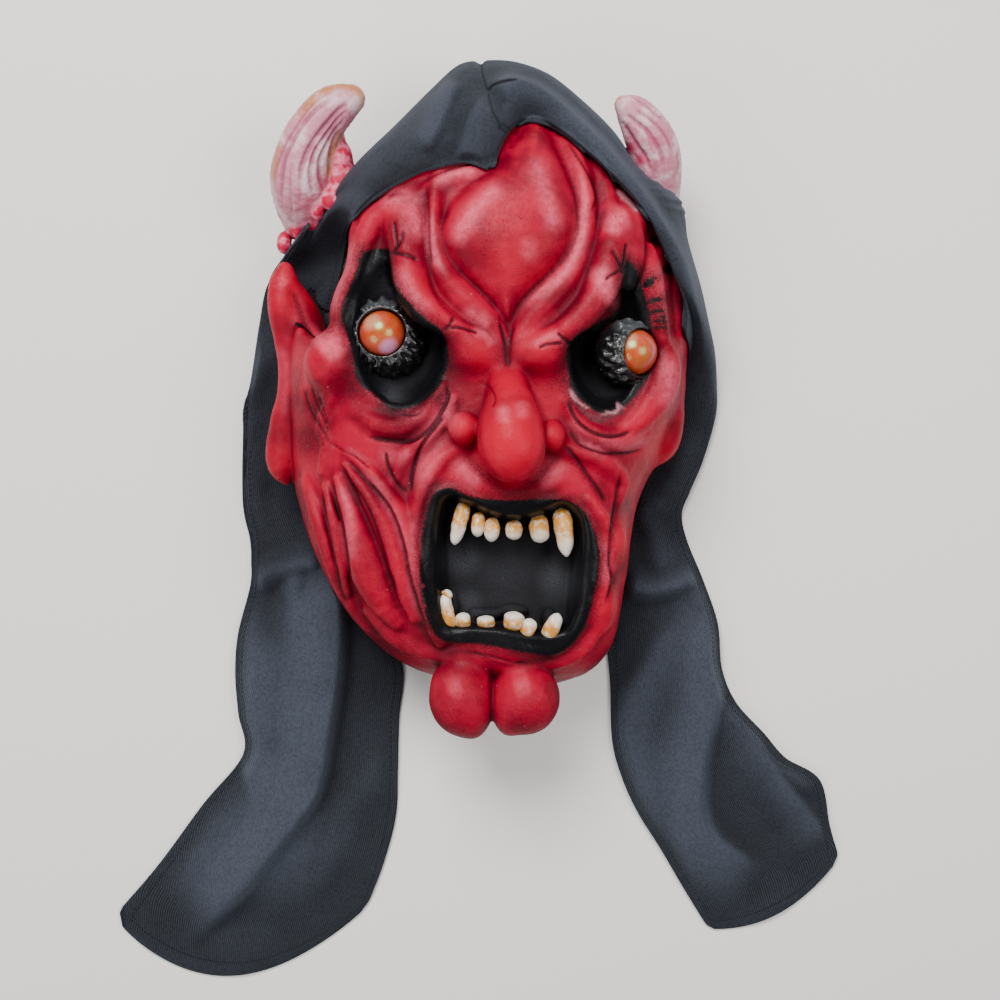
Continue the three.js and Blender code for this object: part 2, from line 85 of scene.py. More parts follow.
# Round folds along a route: across, down and half width as seen, and height above the face in mm
FOLDS = {
    "scroll_left": [
        (440, 172, 6, 2), (434, 200, 7, 4), (433, 228, 8, 5), (436, 252, 11, 6), (446, 277, 14, 6.5),
        (465, 299, 16, 6.5), (486, 315, 13, 6), (498, 331, 9, 5), (503, 348, 7, 4), (508, 364, 5, 3),
    ],
    "scroll_right": [
        (566, 140, 6, 2), (580, 165, 9, 4), (588, 195, 9, 5), (587, 228, 9, 6), (579, 256, 12, 6.5),
        (560, 286, 16, 6.5), (542, 307, 15, 6), (522, 329, 10, 5), (514, 347, 7, 4), (510, 362, 5, 3),
    ],
    "under_left": [
        (425, 262, 8, 1), (432, 284, 10, 2), (442, 303, 10, 3), (460, 317, 8, 3), (482, 331, 6, 3),
    ],
    "under_right": [
        (594, 252, 8, 1), (588, 276, 10, 2), (578, 298, 11, 3), (560, 315, 9, 3), (536, 330, 7, 3),
    ],
    "outer_right": [
        (590, 150, 6, 1), (606, 185, 8, 3), (610, 220, 8, 4), (602, 260, 7, 4), (590, 295, 6, 3),
    ],
    "crown_left": [(418, 196, 7, 1), (440, 180, 8, 3), (468, 172, 8, 3), (490, 172, 6, 2)],
    "crown_high": [(395, 188, 5, 0), (430, 170, 6, 1), (462, 160, 6, 1)],
    "brow_left": [
        (388, 216, 17, 5), (400, 213, 21, 8), (404, 238, 20, 10), (408, 262, 19, 11), (411, 284, 19, 12),
        (422, 304, 17, 12), (441, 319, 14, 11), (458, 330, 12, 10), (474, 342, 10, 8),
    ],
    "brow_rim_left": [
        (388, 207, 14, 7), (371, 222, 13, 8), (361, 246, 11, 7), (354, 272, 9, 6), (345, 294, 8, 5),
        (338, 314, 8, 5), (338, 332, 7, 4),
    ],
    "brow_right": [
        (630, 222, 18, 5), (622, 222, 20, 9), (613, 250, 20, 11), (604, 282, 18, 12), (590, 306, 15, 12),
        (568, 328, 14, 11), (550, 341, 11, 8),
    ],
    "brow_side_right": [(628, 224, 17, 9), (632, 245, 15, 10), (632, 264, 12, 8), (628, 282, 9, 5)],
    "brow_rim_right": [
        (648, 250, 9, 4), (652, 270, 12, 7), (654, 292, 13, 7), (657, 315, 13, 7), (661, 336, 11, 6),
    ],
    "cheek_right": [
        (665, 350, 12, 6), (667, 364, 16, 10), (663, 384, 18, 11), (651, 405, 16, 9), (635, 423, 13, 6),
        (618, 434, 9, 3),
    ],
    "frown_left": [(494, 352, 6, 3), (500, 366, 6, 4), (500, 378, 5, 3)],
    "frown_right": [(519, 352, 6, 3), (512, 366, 6, 4), (511, 378, 5, 3)],
    "bag_left": [(352, 408, 7, 1), (378, 424, 9, 4), (405, 426, 10, 5), (428, 410, 9, 5), (443, 388, 7, 3)],
    "bag_right": [(568, 402, 6, 2), (578, 421, 8, 4), (598, 436, 9, 5), (622, 440, 9, 4), (645, 432, 8, 2)],
    "nasal_left": [(452, 398, 7, 4), (443, 416, 8, 5), (424, 438, 8, 5), (405, 456, 8, 4), (396, 478, 6, 2)],
    "nasal_right": [
        (560, 446, 6, 2), (580, 452, 9, 4), (604, 462, 10, 4), (622, 480, 8, 3), (618, 500, 6, 1),
    ],
    "lip_left": [(460, 448, 8, 2), (440, 460, 9, 4), (424, 482, 9, 4), (416, 510, 8, 4), (410, 540, 7, 3)],
    "lip_top": [(470, 470, 7, 1), (492, 490, 8, 2), (530, 492, 8, 2), (562, 478, 8, 1)],
    "lip_right": [(590, 500, 6, 2), (604, 520, 7, 4), (609, 550, 7, 4), (606, 585, 7, 4), (596, 620, 8, 3)],
    "cheek_outer": [
        (306, 480, 5, 2), (313, 505, 8, 6), (322, 532, 9, 8), (333, 566, 9, 9), (347, 598, 8, 8),
        (368, 626, 7, 5),
    ],
    "cheek_leaf": [(325, 486, 4, 3), (333, 520, 6, 8), (341, 555, 7, 9), (347, 590, 5, 7)],
    "cheek_bulge": [
        (337, 478, 4, 3), (347, 508, 9, 7), (357, 540, 14, 9), (367, 572, 19, 10), (380, 600, 15, 8),
        (396, 622, 8, 4),
    ],
    "cheek_third": [
        (345, 465, 4, 3), (364, 492, 8, 6), (380, 522, 10, 7), (392, 555, 10, 7), (402, 588, 9, 6),
        (414, 618, 6, 3),
    ],
    "cheek_inner": [
        (345, 452, 3, 2), (372, 474, 6, 4), (396, 508, 8, 5), (410, 545, 8, 5), (417, 582, 7, 5),
        (426, 614, 7, 5), (440, 642, 7, 4),
    ],
    "jaw_left": [(372, 610, 10, 3), (396, 636, 12, 4), (428, 652, 10, 4), (462, 656, 8, 3)],
    "jaw_right": [(508, 660, 8, 2), (545, 664, 9, 3), (578, 652, 10, 4), (598, 628, 9, 4)],
    "ear_front": [(333, 395, 8, 4), (322, 422, 7, 3), (326, 446, 6, 3), (322, 470, 6, 3)],
}

# The nose from its root: across, down, height above the face, radius in mm
NOSE = [
    (507, 368, 3, 6), (508, 382, 9, 8.5), (509, 397, 17, 11.5), (510, 413, 25, 14.2), (511, 430, 30, 16),
    (512, 445, 32, 16.2), (513, 451, 31, 14.6),
]

NOSE_WINGS = [((-17.4, 34.5, 92), (7.6, 8.2, 9)), ((25.2, 30.5, 91), (6.4, 8.2, 8.5))]  # place, half sizes

# Round forms: place, half sizes in mm, and how far the top stands above the face
SWELLINGS = {
    "brow_ball_left": ((473, 350), (13, 10, 12), 9.5),
    "brow_ball_right": ((541, 350), (14, 10.5, 12), 9.5),
    "cheek_ball_left": ((329, 360), (14.5, 16, 16), 13),
    "bump_right": ((614, 545), (6.5, 12, 9), 2),
    "bump_low_right": ((606, 606), (6, 12, 9), 3),
    "chin": ((500, 668), (26, 8, 12), 3),
}

# The eye sockets' hollows: place, half sizes in mm, and how far the middle stands above the face
SOCKETS = [((399, 328), (25, 38, 27), 5), ((608, 338), (20, 35, 26), 4)]

# Beside the brows the latex falls back: outline, the level it falls back to, and how steeply
TEMPLE_LEVEL = 62  # where the outlines hold
TEMPLES = [
    ([(353, 212), (349, 232), (348, 250), (344, 273), (336, 290), (330, 312), (329, 338), (318, 342),
      (300, 330), (280, 306), (262, 270), (296, 224), (330, 200)], 20, 0.12),
    ([(653, 236), (652, 246), (662, 250), (669, 270), (670, 300), (676, 338), (700, 350), (712, 300),
      (690, 246), (668, 234)], 58, 0.5),
]

# The mouth: the black-painted edge, and the edge of the recess inside the lips
LIPS = [
    (438, 490), (452, 488), (468, 495), (488, 499), (514, 500), (539, 499), (558, 499), (577, 505),
    (590, 520), (597, 540), (600, 560), (596, 588), (588, 619), (578, 639), (565, 651), (550, 656),
    (527, 653), (502, 648), (478, 644), (454, 643), (439, 638), (429, 624), (424, 607), (420, 583),
    (420, 559), (422, 535), (427, 513), (431, 499),
]
RECESS = [
    (447, 497), (469, 502), (492, 512), (516, 516), (540, 512), (562, 503), (577, 512), (583, 535),
    (583, 565), (580, 600), (572, 628), (556, 638), (528, 637), (500, 632), (470, 630), (450, 630),
    (439, 615), (436, 580), (436, 545), (438, 518),
]
LIP_LEVEL = 84
LIP_RADIUS = 3.6
RECESS_LEVEL = 80  # where its outline as seen is taken
RECESS_SLOPE = 0.25
MOUTH_FLOOR = 62
GUM_RISE = 6
THROAT_Y = (-52, -24)  # the flat floor between the gums

# Teeth: root and tip as seen, and widths at the root, middle and tip in mm
TEETH = [
    ((465, 500), (454, 545), (7, 7.8, 6)), ((479, 512), (477, 537), (6, 6.6, 5.6)),
    ((493, 517), (491, 542), (6, 7.8, 6.6)), ((514, 520), (514, 540), (7.4, 8.4, 7)),
    ((538, 514), (541, 543), (7, 10, 8.8)), ((561, 507), (567, 557), (10, 9.6, 6.4)),
    ((451, 630), (444, 594), (7.6, 6.6, 6.2)), ((463, 629), (463, 613), (7, 8, 7)),
    ((486, 629), (486, 616), (8, 9, 8)), ((513, 632), (515, 612), (8.6, 10.6, 9.6)),
    ((525, 641), (531, 619), (5.6, 7.6, 7)), ((545, 640), (559, 614), (7, 8, 6.4)),
]
# A small hooked tooth, and the stubs of latex between the teeth with their half sizes
HOOK = ((443, 598), (451, 592), (6.2, 5.4, 4))
STUBS = [
    ((480, 614), (7, 3.4, 4)), ((492, 614), (6, 3.4, 4)), ((513, 610), (8, 3.4, 4)), ((473, 618), (3, 5, 4)),
    ((549, 619), (4, 6, 4)), ((453, 606), (3, 8, 4)),
]

# Creases in the latex: width and depth in mm, and route
CREASES = [
    (0.8, 0.6, [(425, 186), (428, 210), (429, 240), (432, 268)]),
    (0.7, 0.7, [(566, 140), (580, 160), (592, 180), (597, 198), (591, 212)]),
    (0.7, 0.4, [(384, 202), (402, 186), (420, 180)]),
    (0.7, 0.5, [(418, 184), (446, 170), (470, 164), (486, 166)]),
    (0.8, 1.1, [(500, 322), (505, 340), (507, 369)]), (0.7, 1.0, [(512, 326), (509, 345), (509, 368)]),
    (0.7, 1.2, [(394, 220), (395, 232), (396, 244), (392, 254)]),
    (0.7, 1.2, [(404, 230), (400, 242), (395, 252)]),
    (0.8, 1.3, [(391, 253), (402, 254), (411, 256), (418, 261)]),
    (0.8, 1.2, [(454, 316), (450, 324), (444, 331)]),
    (0.8, 1.2, [(448, 329), (458, 327), (468, 329), (479, 333)]),
    (0.8, 1.2, [(612, 248), (617, 258), (621, 267), (622, 274)]),
    (0.7, 1.2, [(627, 242), (625, 256), (622, 270)]), (0.8, 1.1, [(620, 271), (613, 274), (604, 280)]),
    (0.8, 1.2, [(557, 332), (563, 338), (572, 346)]), (0.8, 1.2, [(538, 348), (548, 344), (564, 343)]),
    (0.7, 0.9, [(303, 388), (308, 405), (316, 421), (327, 437)]),
    (0.7, 0.9, [(310, 384), (316, 403), (324, 420), (330, 435)]),
    (0.7, 0.8, [(318, 396), (324, 412), (330, 428)]),
    (1.0, 1.3, [(364, 436), (386, 440), (409, 441), (428, 430), (441, 412), (448, 396), (447, 382)]),
    (0.7, 0.7, [(382, 404), (396, 412), (412, 415), (424, 411)]),
    (1.0, 1.2, [(446, 414), (436, 426), (427, 438), (420, 450), (415, 464), (411, 480), (410, 494)]),
    (0.9, 1.1, [(386, 450), (387, 462), (391, 474), (400, 486), (409, 493)]),
    (1.0, 1.2, [(568, 397), (571, 410), (578, 422), (590, 431), (606, 436), (620, 435), (634, 430)]),
    (0.8, 0.9, [(568, 428), (575, 439), (586, 447), (606, 453), (628, 453), (645, 448)]),
    (0.9, 1.0, [(564, 444), (574, 456), (586, 472), (598, 488), (607, 504)]),
    (0.6, 0.7, [(479, 381), (490, 388), (495, 398), (491, 409)]),
    (1.0, 0.8, [(322, 486), (325, 515), (333, 552), (340, 588), (349, 606)]),
    (0.9, 0.7, [(330, 486), (341, 520), (346, 548), (350, 580), (354, 600)]),
    (1.1, 0.8, [(337, 458), (352, 484), (366, 505), (378, 535), (388, 570), (398, 600)]),
    (1.0, 0.9, [(342, 455), (362, 476), (388, 506), (402, 540), (409, 575), (418, 606), (428, 632)]),
    (0.8, 0.7, [(328, 440), (340, 449), (356, 456), (372, 470)]),
    (0.8, 0.9, [(621, 470), (616, 500), (611, 530), (609, 562), (612, 582), (604, 608)]),
    (0.8, 0.8, [(468, 652), (490, 656), (512, 662), (530, 664)]),
]

# Black stripes across the brow's outer rims: width in mm
STRIPES = [
    (1.6, [(346, 300), (354, 303), (362, 300)]), (1.3, [(343, 309), (352, 313), (362, 312)]),
    (1.5, [(341, 318), (350, 322), (358, 326)]), (1.2, [(351, 288), (358, 291), (366, 290)]),
    (1.1, [(361, 250), (366, 256), (372, 259)]), (1.0, [(358, 258), (364, 263), (371, 266)]),
    (1.3, [(642, 286), (649, 280), (658, 277)]), (1.6, [(645, 303), (655, 300), (665, 299)]),
    (1.4, [(648, 313), (657, 311), (667, 311)]), (1.3, [(651, 322), (660, 321), (668, 322)]),
    (1.0, [(650, 329), (662, 327), (669, 329)]), (2.2, [(642, 288), (649, 283), (656, 280)]),
    (3.0, [(665, 264), (667, 269), (669, 275)]), (1.2, [(655, 318), (661, 317), (667, 318)]),
]
# The edges of the black paint round the eyes
SOCKET_PAINT = [
    [(363, 254), (375, 249), (389, 250), (391, 264), (395, 284), (407, 300), (425, 318), (442, 331),
     (449, 352), (444, 378), (430, 397), (410, 408), (391, 408), (374, 395), (357, 380), (352, 352),
     (346, 332), (341, 314), (345, 298), (354, 276)],
    [(625, 262), (637, 271), (643, 289), (649, 310), (652, 330), (655, 352), (652, 370), (641, 388),
     (632, 400), (616, 411), (599, 413), (583, 402), (572, 391), (568, 372), (567, 348), (578, 334),
     (598, 323), (617, 310), (621, 293)],
]
# Latex with its paint torn away below the right eye, and small chips
TORN = [
    (567, 388), (572, 391), (579, 402), (588, 412), (598, 416), (607, 414), (615, 411), (620, 408),
    (618, 404), (624, 408), (625, 414), (617, 416), (607, 420), (600, 424), (591, 422), (582, 414),
    (573, 403),
]
# Pale raw edges of latex: width in mm, strength and route
RAW_EDGES = [
    (1.1, 0.9, [(617, 189), (624, 197), (632, 205), (639, 212)]),
    (0.6, 0.6, [(604, 411), (613, 413), (618, 410), (617, 401)]),
    (0.5, 0.6, [(569, 388), (573, 397), (581, 404), (590, 409)]),
]
CHIPS = [((365, 610), 1.0), ((423, 586), 1.2), ((425, 606), 0.8), ((434, 248), 0.5), ((548, 196), 0.6)]

# Soft patches of dark (airbrush and painted shade) and of bright red paint: place, size in mm, strength
AIRBRUSH_AND_SHADE_SPOTS = [
    ((400, 420), 16, 0.6), ((355, 395), 9, 0.6), ((440, 400), 8, 0.7), ((575, 405), 9, 0.7),
    ((560, 380), 9, 0.6), ((455, 372), 10, 0.5), ((402, 470), 12, 0.4), ((660, 228), 10, 0.5),
    ((682, 300), 10, 0.9), ((310, 440), 11, 0.9), ((312, 405), 7, 0.7), ((385, 470), 10, 0.35),
    ((430, 520), 8, 0.4), ((340, 515), 9, 0.3), ((505, 358), 7, 0.6), ((360, 258), 6, 0.5),
    ((640, 270), 6, 0.7), ((655, 305), 7, 0.5), ((420, 650), 12, 0.35), ((340, 240), 6, 0.8),
    ((325, 325), 6, 0.9), ((308, 340), 6, 0.5), ((476, 300), 6, 0.25), ((620, 560), 8, 0.4),
    ((452, 440), 8, 0.3), ((512, 310), 10, 0.35), ((400, 640), 16, 0.55), ((370, 560), 10, 0.45),
    ((350, 600), 12, 0.4), ((452, 718), 20, 0.5), ((528, 722), 20, 0.5), ((276, 440), 12, 0.3),
    ((436, 700), 7, 0.4), ((492, 664), 8, 0.6), ((285, 480), 8, 0.3), ((292, 400), 7, 0.5),
    ((288, 330), 7, 0.3), ((300, 300), 8, 0.3),
]
BRIGHTS = [
    ((511, 440), 24, 1), ((508, 385), 9, 0.9), ((464, 428), 9, 0.8), ((554, 436), 8, 0.8),
    ((461, 686), 15, 0.15), ((525, 686), 15, 0.15), ((367, 572), 12, 0.35), ((284, 460), 14, 0.5),
    ((285, 300), 14, 0.4), ((660, 450), 14, 0.9), ((520, 250), 18, 0.6), ((480, 350), 9, 0.6),
    ((540, 348), 9, 0.6), ((617, 545), 9, 1), ((606, 606), 9, 0.9), ((520, 490), 14, 0.4),
    ((590, 600), 8, 0.4), ((275, 400), 14, 0.4), ((425, 290), 9, 0.5),
]
# Painted grey sheen in soft clouds on the black floor of the mouth and in the eye sockets
GREY_SHEEN_SPOTS = [
    ((505, 575), 20, 0.3), ((464, 560), 9, 0.7), ((470, 600), 8, 0.5), ((556, 580), 10, 0.7),
    ((392, 398), 6, 0.6), ((384, 282), 8, 0.5),
]
# Lines: width in mm, strength, route. Dark ones lie in the valleys, pale ones on the crests
# The dark lines are airbrush and painted shade
AIRBRUSH_AND_SHADE_LINES = [
    (1.3, 0.5, [(449, 211), (441, 232), (446, 252), (459, 271), (477, 287), (494, 304), (508, 324)]),
    (1.3, 0.6, [(543, 126), (554, 148), (566, 175), (575, 200), (578, 224), (573, 245), (557, 267),
                (536, 285), (518, 304), (508, 324)]),
    (1.4, 0.6, [(425, 188), (428, 216), (429, 250), (431, 284), (440, 303), (454, 316), (468, 323),
                (482, 328), (493, 337), (498, 354)]),
    (1.5, 0.6, [(608, 209), (600, 228), (594, 246), (588, 266), (585, 288), (573, 307), (551, 323),
                (530, 333)]), (1.2, 0.5, [(566, 140), (580, 160), (592, 180), (597, 200), (590, 216)]),
    (1.4, 0.7, [(499, 322), (504, 342), (507, 371)]), (1.2, 0.6, [(515, 324), (511, 345), (509, 371)]),
    (2.6, 0.35, [(450, 356), (460, 370), (478, 374), (492, 368)]),
    (2.6, 0.35, [(522, 368), (542, 374), (562, 368), (572, 352)]),
    (1.8, 0.45, [(493, 378), (485, 398), (480, 418), (481, 445), (489, 468), (502, 482)]),
    (1.8, 0.45, [(524, 380), (537, 400), (546, 424), (543, 450), (535, 468), (521, 482)]),
    (3.5, 0.65, [(462, 450), (478, 470), (496, 487), (512, 491), (532, 484), (550, 464), (562, 450)]),
    (2.0, 0.6, [(447, 412), (436, 426), (427, 438), (419, 452), (413, 468), (410, 494)]),
    (2.2, 0.7, [(564, 444), (576, 462), (592, 484), (607, 504)]),
    (1.6, 0.5, [(364, 437), (386, 441), (409, 442), (428, 431), (441, 414), (449, 396), (448, 380)]),
    (3.2, 0.5, [(341, 468), (356, 488), (372, 514), (384, 545), (391, 578), (400, 612)]),
    (2.4, 0.4, [(362, 476), (388, 506), (402, 540), (411, 575), (420, 610), (436, 640)]),
    (1.6, 0.45, [(319, 486), (326, 520), (333, 552), (341, 588), (350, 608)]),
    (1.5, 0.4, [(331, 486), (342, 522), (347, 555), (351, 590), (362, 614)]),
    (5.0, 0.45, [(345, 602), (374, 632), (396, 649), (424, 660)]),
    (1.8, 0.7, [(621, 467), (616, 506), (609, 559), (613, 581), (604, 610)]),
    (1.8, 0.7, [(438, 656), (470, 652), (500, 664), (530, 662), (558, 656)]),
    (1.4, 0.9, [(491, 664), (490, 690), (492, 724)]), (2.0, 0.8, [(293, 290), (301, 315), (310, 336)]),
    (2.0, 0.6, [(384, 202), (402, 187), (420, 181), (446, 170), (470, 165)]),
    (1.8, 0.8, [(305, 385), (312, 407), (322, 428), (330, 445)]),
    (1.8, 0.45, [(568, 398), (574, 417), (590, 431), (612, 436), (634, 430)]),
    (1.8, 0.5, [(568, 428), (582, 445), (607, 454), (632, 454)]),
    (1.0, 0.6, [(387, 450), (388, 466), (396, 482), (408, 494)]),
    (3.0, 0.5, [(300, 480), (312, 520), (326, 562), (344, 598)]),
]
# The pale lines are drybrush and painted highlight
DRYBRUSH_AND_HIGHLIGHT_LINES = [
    (4.0, 0.8, [(455, 250), (461, 232), (472, 212), (490, 194), (508, 184)]),
    (4.5, 0.65, [(534, 150), (541, 180), (551, 212), (557, 236)]),
    (4.0, 0.35, [(522, 236), (530, 250), (524, 262)]),
    (5.0, 0.8, [(382, 214), (396, 199), (410, 204), (417, 226), (419, 246)]),
    (4.0, 0.7, [(396, 262), (402, 282), (414, 300), (436, 316)]),
    (5.5, 0.85, [(609, 236), (616, 221), (630, 212)]),
    (5.0, 0.9, [(597, 262), (603, 280), (612, 298), (606, 308)]),
    (2.4, 0.7, [(428, 206), (430, 232), (434, 256), (444, 276)]),
    (3.0, 0.6, [(462, 307), (478, 318), (491, 328)]),
    (3.0, 0.8, [(566, 146), (580, 176), (584, 206), (580, 238), (571, 262), (559, 277), (543, 289),
                (526, 303), (515, 320)]), (2.6, 0.6, [(470, 328), (486, 336), (494, 348)]),
    (2.6, 0.55, [(530, 347), (548, 338), (566, 337)]), (7.0, 0.85, [(316, 352), (330, 343), (344, 360)]),
    (3.0, 0.6, [(503, 404), (504, 424)]), (3.0, 0.5, [(521, 400), (523, 420)]),
    (6.0, 0.6, [(460, 384), (448, 412), (436, 440), (424, 470), (420, 500)]),
    (4.5, 0.7, [(452, 456), (466, 472), (484, 486)]), (4.5, 0.6, [(562, 458), (552, 472), (536, 486)]),
    (3.0, 0.6, [(566, 416), (584, 440), (612, 457)]),
    (3.0, 0.6, [(338, 479), (348, 505), (350, 540), (354, 566)]),
    (2.5, 0.55, [(353, 463), (376, 486), (398, 524), (410, 562), (418, 600)]),
    (3.0, 0.45, [(418, 506), (413, 545), (413, 585), (424, 628)]),
    (3.0, 0.55, [(598, 530), (606, 560), (602, 590)]), (6.0, 0.35, [(446, 692), (462, 684)]),
    (6.0, 0.35, [(512, 688), (532, 684)]), (5.0, 0.65, [(664, 352), (672, 380), (664, 414)]),
    (3.0, 0.3, [(279, 340), (286, 372), (282, 420)]), (3.0, 0.5, [(280, 278), (288, 284)]),
    (3.0, 0.7, [(352, 234), (350, 262), (338, 292), (334, 318)]),
    (2.6, 0.5, [(656, 258), (662, 290), (668, 330)]), (3.5, 0.5, [(376, 450), (398, 458), (412, 446)]),
    (4.0, 0.8, [(430, 184), (458, 172), (480, 174)]), (3.0, 0.5, [(394, 415), (412, 416), (428, 408)]),
    (4.0, 0.5, [(592, 440), (622, 446), (650, 436)]),
]

# Bodies of round section: x, y, z, radius
LEFT_HORN = [
    (-98, 142, 10, 8), (-104, 150, 25, 12), (-104, 164, 43, 15.6), (-100.5, 178, 50, 14.8),
    (-94, 190.5, 54, 13), (-85, 199.5, 57, 11.4), (-76, 204, 58, 7.4),
]
RIGHT_HORN = [
    (78, 146, 20, 10), (82, 157, 31, 12), (81.4, 171, 41, 13.4), (79.5, 181, 47, 13.2),
    (74.5, 190, 52, 11.8), (68.5, 197.6, 55, 8.8), (63.3, 201.3, 56.5, 5),
]
# What each horn is made of; its grooves and ochre paint as width in mm, depth or strength, and route as seen
HORNS = {
    "horn_left": {
        "stations": LEFT_HORN,
        "flesh": [
            ((-115, 137, 28), (4, 6, 4.5)), ((-107, 143.5, 34), (4, 6, 5)), ((-95, 152, 44), (4, 6.5, 5)),
            ((-87, 154, 48), (5, 4.5, 5)), ((-84, 187, 46), (3.6, 7, 6)), ((-83.5, 177, 44), (7, 10, 9)),
            ((-82.5, 166, 42), (8.5, 12, 9)), ((-85, 158, 44), (7, 7, 7)), ((-100, 147, 36), (7, 5, 5)),
        ],
        "rose": [
            ((318, 222), 5, 1), ((335, 200), 5, 1), ((304, 232), 4, 0.8), ((327, 212), 5, 1),
            ((312, 205), 7, 0.4), ((330, 185), 5, 0.5), ((282, 236), 4, 0.6),
        ],
        "grooves": [
            (1.0, 1.0, [(345, 86), (322, 96), (308, 108), (295, 127), (285, 144), (279, 158), (275, 175),
                        (274, 222)]),
            (1.3, 1.2, [(341, 95), (324, 103), (311, 114), (300, 128), (291, 144), (284, 160), (281, 190),
                        (284, 228)]),
            (1.5, 1.4, [(355, 99), (341, 108), (330, 120), (321, 131), (311, 145), (304, 160), (300, 178),
                        (300, 226)]),
            (1.2, 1.2, [(352, 105), (339, 118), (327, 134), (316, 150), (311, 166), (311, 184), (316, 208)]),
            (1.1, 1.1, [(349, 113), (336, 129), (326, 146), (320, 162), (321, 182), (330, 206)]),
            (1.0, 1.1, [(342, 126), (334, 140), (330, 158), (331, 178), (341, 203)]),
            (0.9, 0.6, [(291, 160), (290, 190), (293, 226)]),
        ],
        "ochre": [
            (2.4, 0.9, [(288, 128), (303, 108), (318, 95), (334, 86), (348, 85), (359, 92), (363, 103),
                        (357, 118)]), (1.8, 0.8, [(344, 128), (336, 146), (331, 166), (329, 180)]),
            (1.4, 0.6, [(283, 138), (275, 160), (272, 190)]), (1.5, 0.5, [(275, 215), (280, 234)]),
        ],
    },
    "horn_right": {
        "stations": RIGHT_HORN,
        "flesh": [],
        "rose": [((628, 148), 4, 1), ((640, 160), 4, 0.9), ((650, 145), 7, 0.4), ((655, 165), 7, 0.4)],
        "grooves": [
            (1.0, 0.7, [(632, 97), (643, 103), (654, 112), (668, 124)]),
            (1.2, 0.9, [(629, 104), (640, 112), (651, 119), (663, 131), (671, 146), (674, 166)]),
            (1.4, 1.1, [(622, 110), (633, 120), (645, 129), (655, 142), (662, 157), (664, 180)]),
            (1.2, 0.9, [(620, 118), (627, 130), (637, 146), (647, 160), (652, 176)]),
            (0.7, 0.8, [(676, 148), (679, 164), (678, 184)]),
        ],
        "ochre": [(1.3, 1.0, [(624, 94), (615, 101), (613, 114), (616, 130)])],
    },
}
# The ears, as bodies of round section
LEFT_EAR = [
    (-113, 121, 38, 4), (-114, 113, 38, 7), (-114, 103, 38, 8), (-112.5, 90, 37, 7.5), (-110.6, 75, 36, 6.5),
    (-110.6, 58, 35, 6.5), (-113, 44, 35, 7.5), (-114.6, 30, 34, 8.5), (-114.8, 19, 34, 8),
    (-113, 11, 34, 3),
]
LEFT_EAR_FRONT = [
    (-112, 119, 38, 3.6), (-108, 110, 38, 3.8), (-104, 101, 38, 4), (-99.5, 91, 39, 4.2), (-93, 80, 42, 4),
]
RIGHT_EAR = [
    (93, 84, 32, 3), (92, 70, 31, 6), (90, 52, 30, 8), (86.5, 36, 30, 10.5), (83, 29, 30, 10),
    (79, 21, 30, 4),
]

# Round forms in mm: place, half sizes, and how softly each joins the others
EAR_FLESH = [((-105.5, 90, 36), (9, 22, 7), 4), ((-103, 72, 32), (13, 34, 9), 4)]
LOBE_BRIDGE = [(-18, -78, 68, 9), (-4, -76, 70, 9), (12, -78, 68, 9)]
LOBES = [
    ((-19.3, -98, 66), (16.4, 20.5, 19.5), 1.4), ((-13.6, -103, 66), (9.3, 16.4, 16), 5),
    ((12.6, -99.5, 66), (17.4, 18.3, 18.6), 1.4), ((5, -103, 66), (9.6, 15.4, 15.5), 2.5),
]

# The hood, row by row from the left tail's hem to the right tail's: the place and height of its inner edge,
# those of its outline, and how far the line between them bows down the picture
HOOD = [
    (368, 904, 2, 115, 915, 2, 66), (384, 862, 2, 158, 865, 2, 32), (396, 815, 2, 203, 804, 2, 8),
    (398, 768, 2, 243, 754, 2.5, 0), (399, 718, 2, 238, 713, 3, 0), (403, 670, 2, 235, 672, 3, 0),
    (388, 640, 2, 238, 633, 3, 0), (362, 606, 2, 250, 586, 4, 0), (340, 574, 2.4, 251, 562, 5, 0),
    (322, 532, 2.4, 250, 538, 6, 0), (310, 498, 2.4, 243, 503, 6, 0), (304, 460, 2.4, 244, 433, 8, 0),
    (303, 415, 2.8, 245, 405, 8, 0), (306, 356, 14, 251, 378, 9, 0), (330, 318, 20, 259, 325, 14, 0),
    (338, 284, 22, 267, 286, 22, 0), (345, 250, 24, 286, 256, 34, 0), (350, 224, 40, 322, 206, 46, 0),
    (376, 197, 72, 357, 162, 50, 0), (409, 178, 80, 395, 125, 50, 0), (440, 166, 84, 430, 90, 50, 0),
    (468, 162, 86, 455, 67, 50, 0), (484, 168, 87, 472, 61, 50, 0), (489, 166, 87.5, 481, 64, 50, 0),
    (495, 163, 88, 489, 60, 50, 0), (506, 138, 86, 517, 62, 50, 0), (519, 124, 84, 549, 74, 50, 0),
    (538, 121, 83, 580, 98, 50, 0), (566, 137, 82, 613, 130, 48, 0), (597, 162, 80, 641, 168, 46, 0),
    (622, 188, 76, 680, 200, 42, 0), (645, 214, 72, 688, 240, 34, 0), (662, 247, 66, 701, 286, 28, 0),
    (674, 275, 60, 709, 322, 20, 0), (684, 305, 44, 715, 352, 12, 0), (682, 342, 26, 717, 385, 8, 0),
    (678, 390, 14, 716, 415, 6, 0), (668, 430, 8, 704, 458, 6, 0), (655, 462, 8, 690, 492, 6, 0),
    (640, 490, 6, 682, 514, 5, 0), (626, 530, 3, 687, 540, 4, 0), (612, 580, 2.4, 704, 582, 4, 0),
    (607, 636, 2, 718, 624, 4, 0), (610, 682, 2, 722, 668, 4, 0), (612, 740, 2, 736, 702, 3, 0),
    (622, 778, 2, 764, 733, 3, 0), (638, 813, 2, 786, 758, 3, 0), (660, 848, 2, 820, 780, 3, 0),
    (684, 889, 2, 830, 826, 3, 0), (708, 928, 2, 839, 857, 3, 24),
]
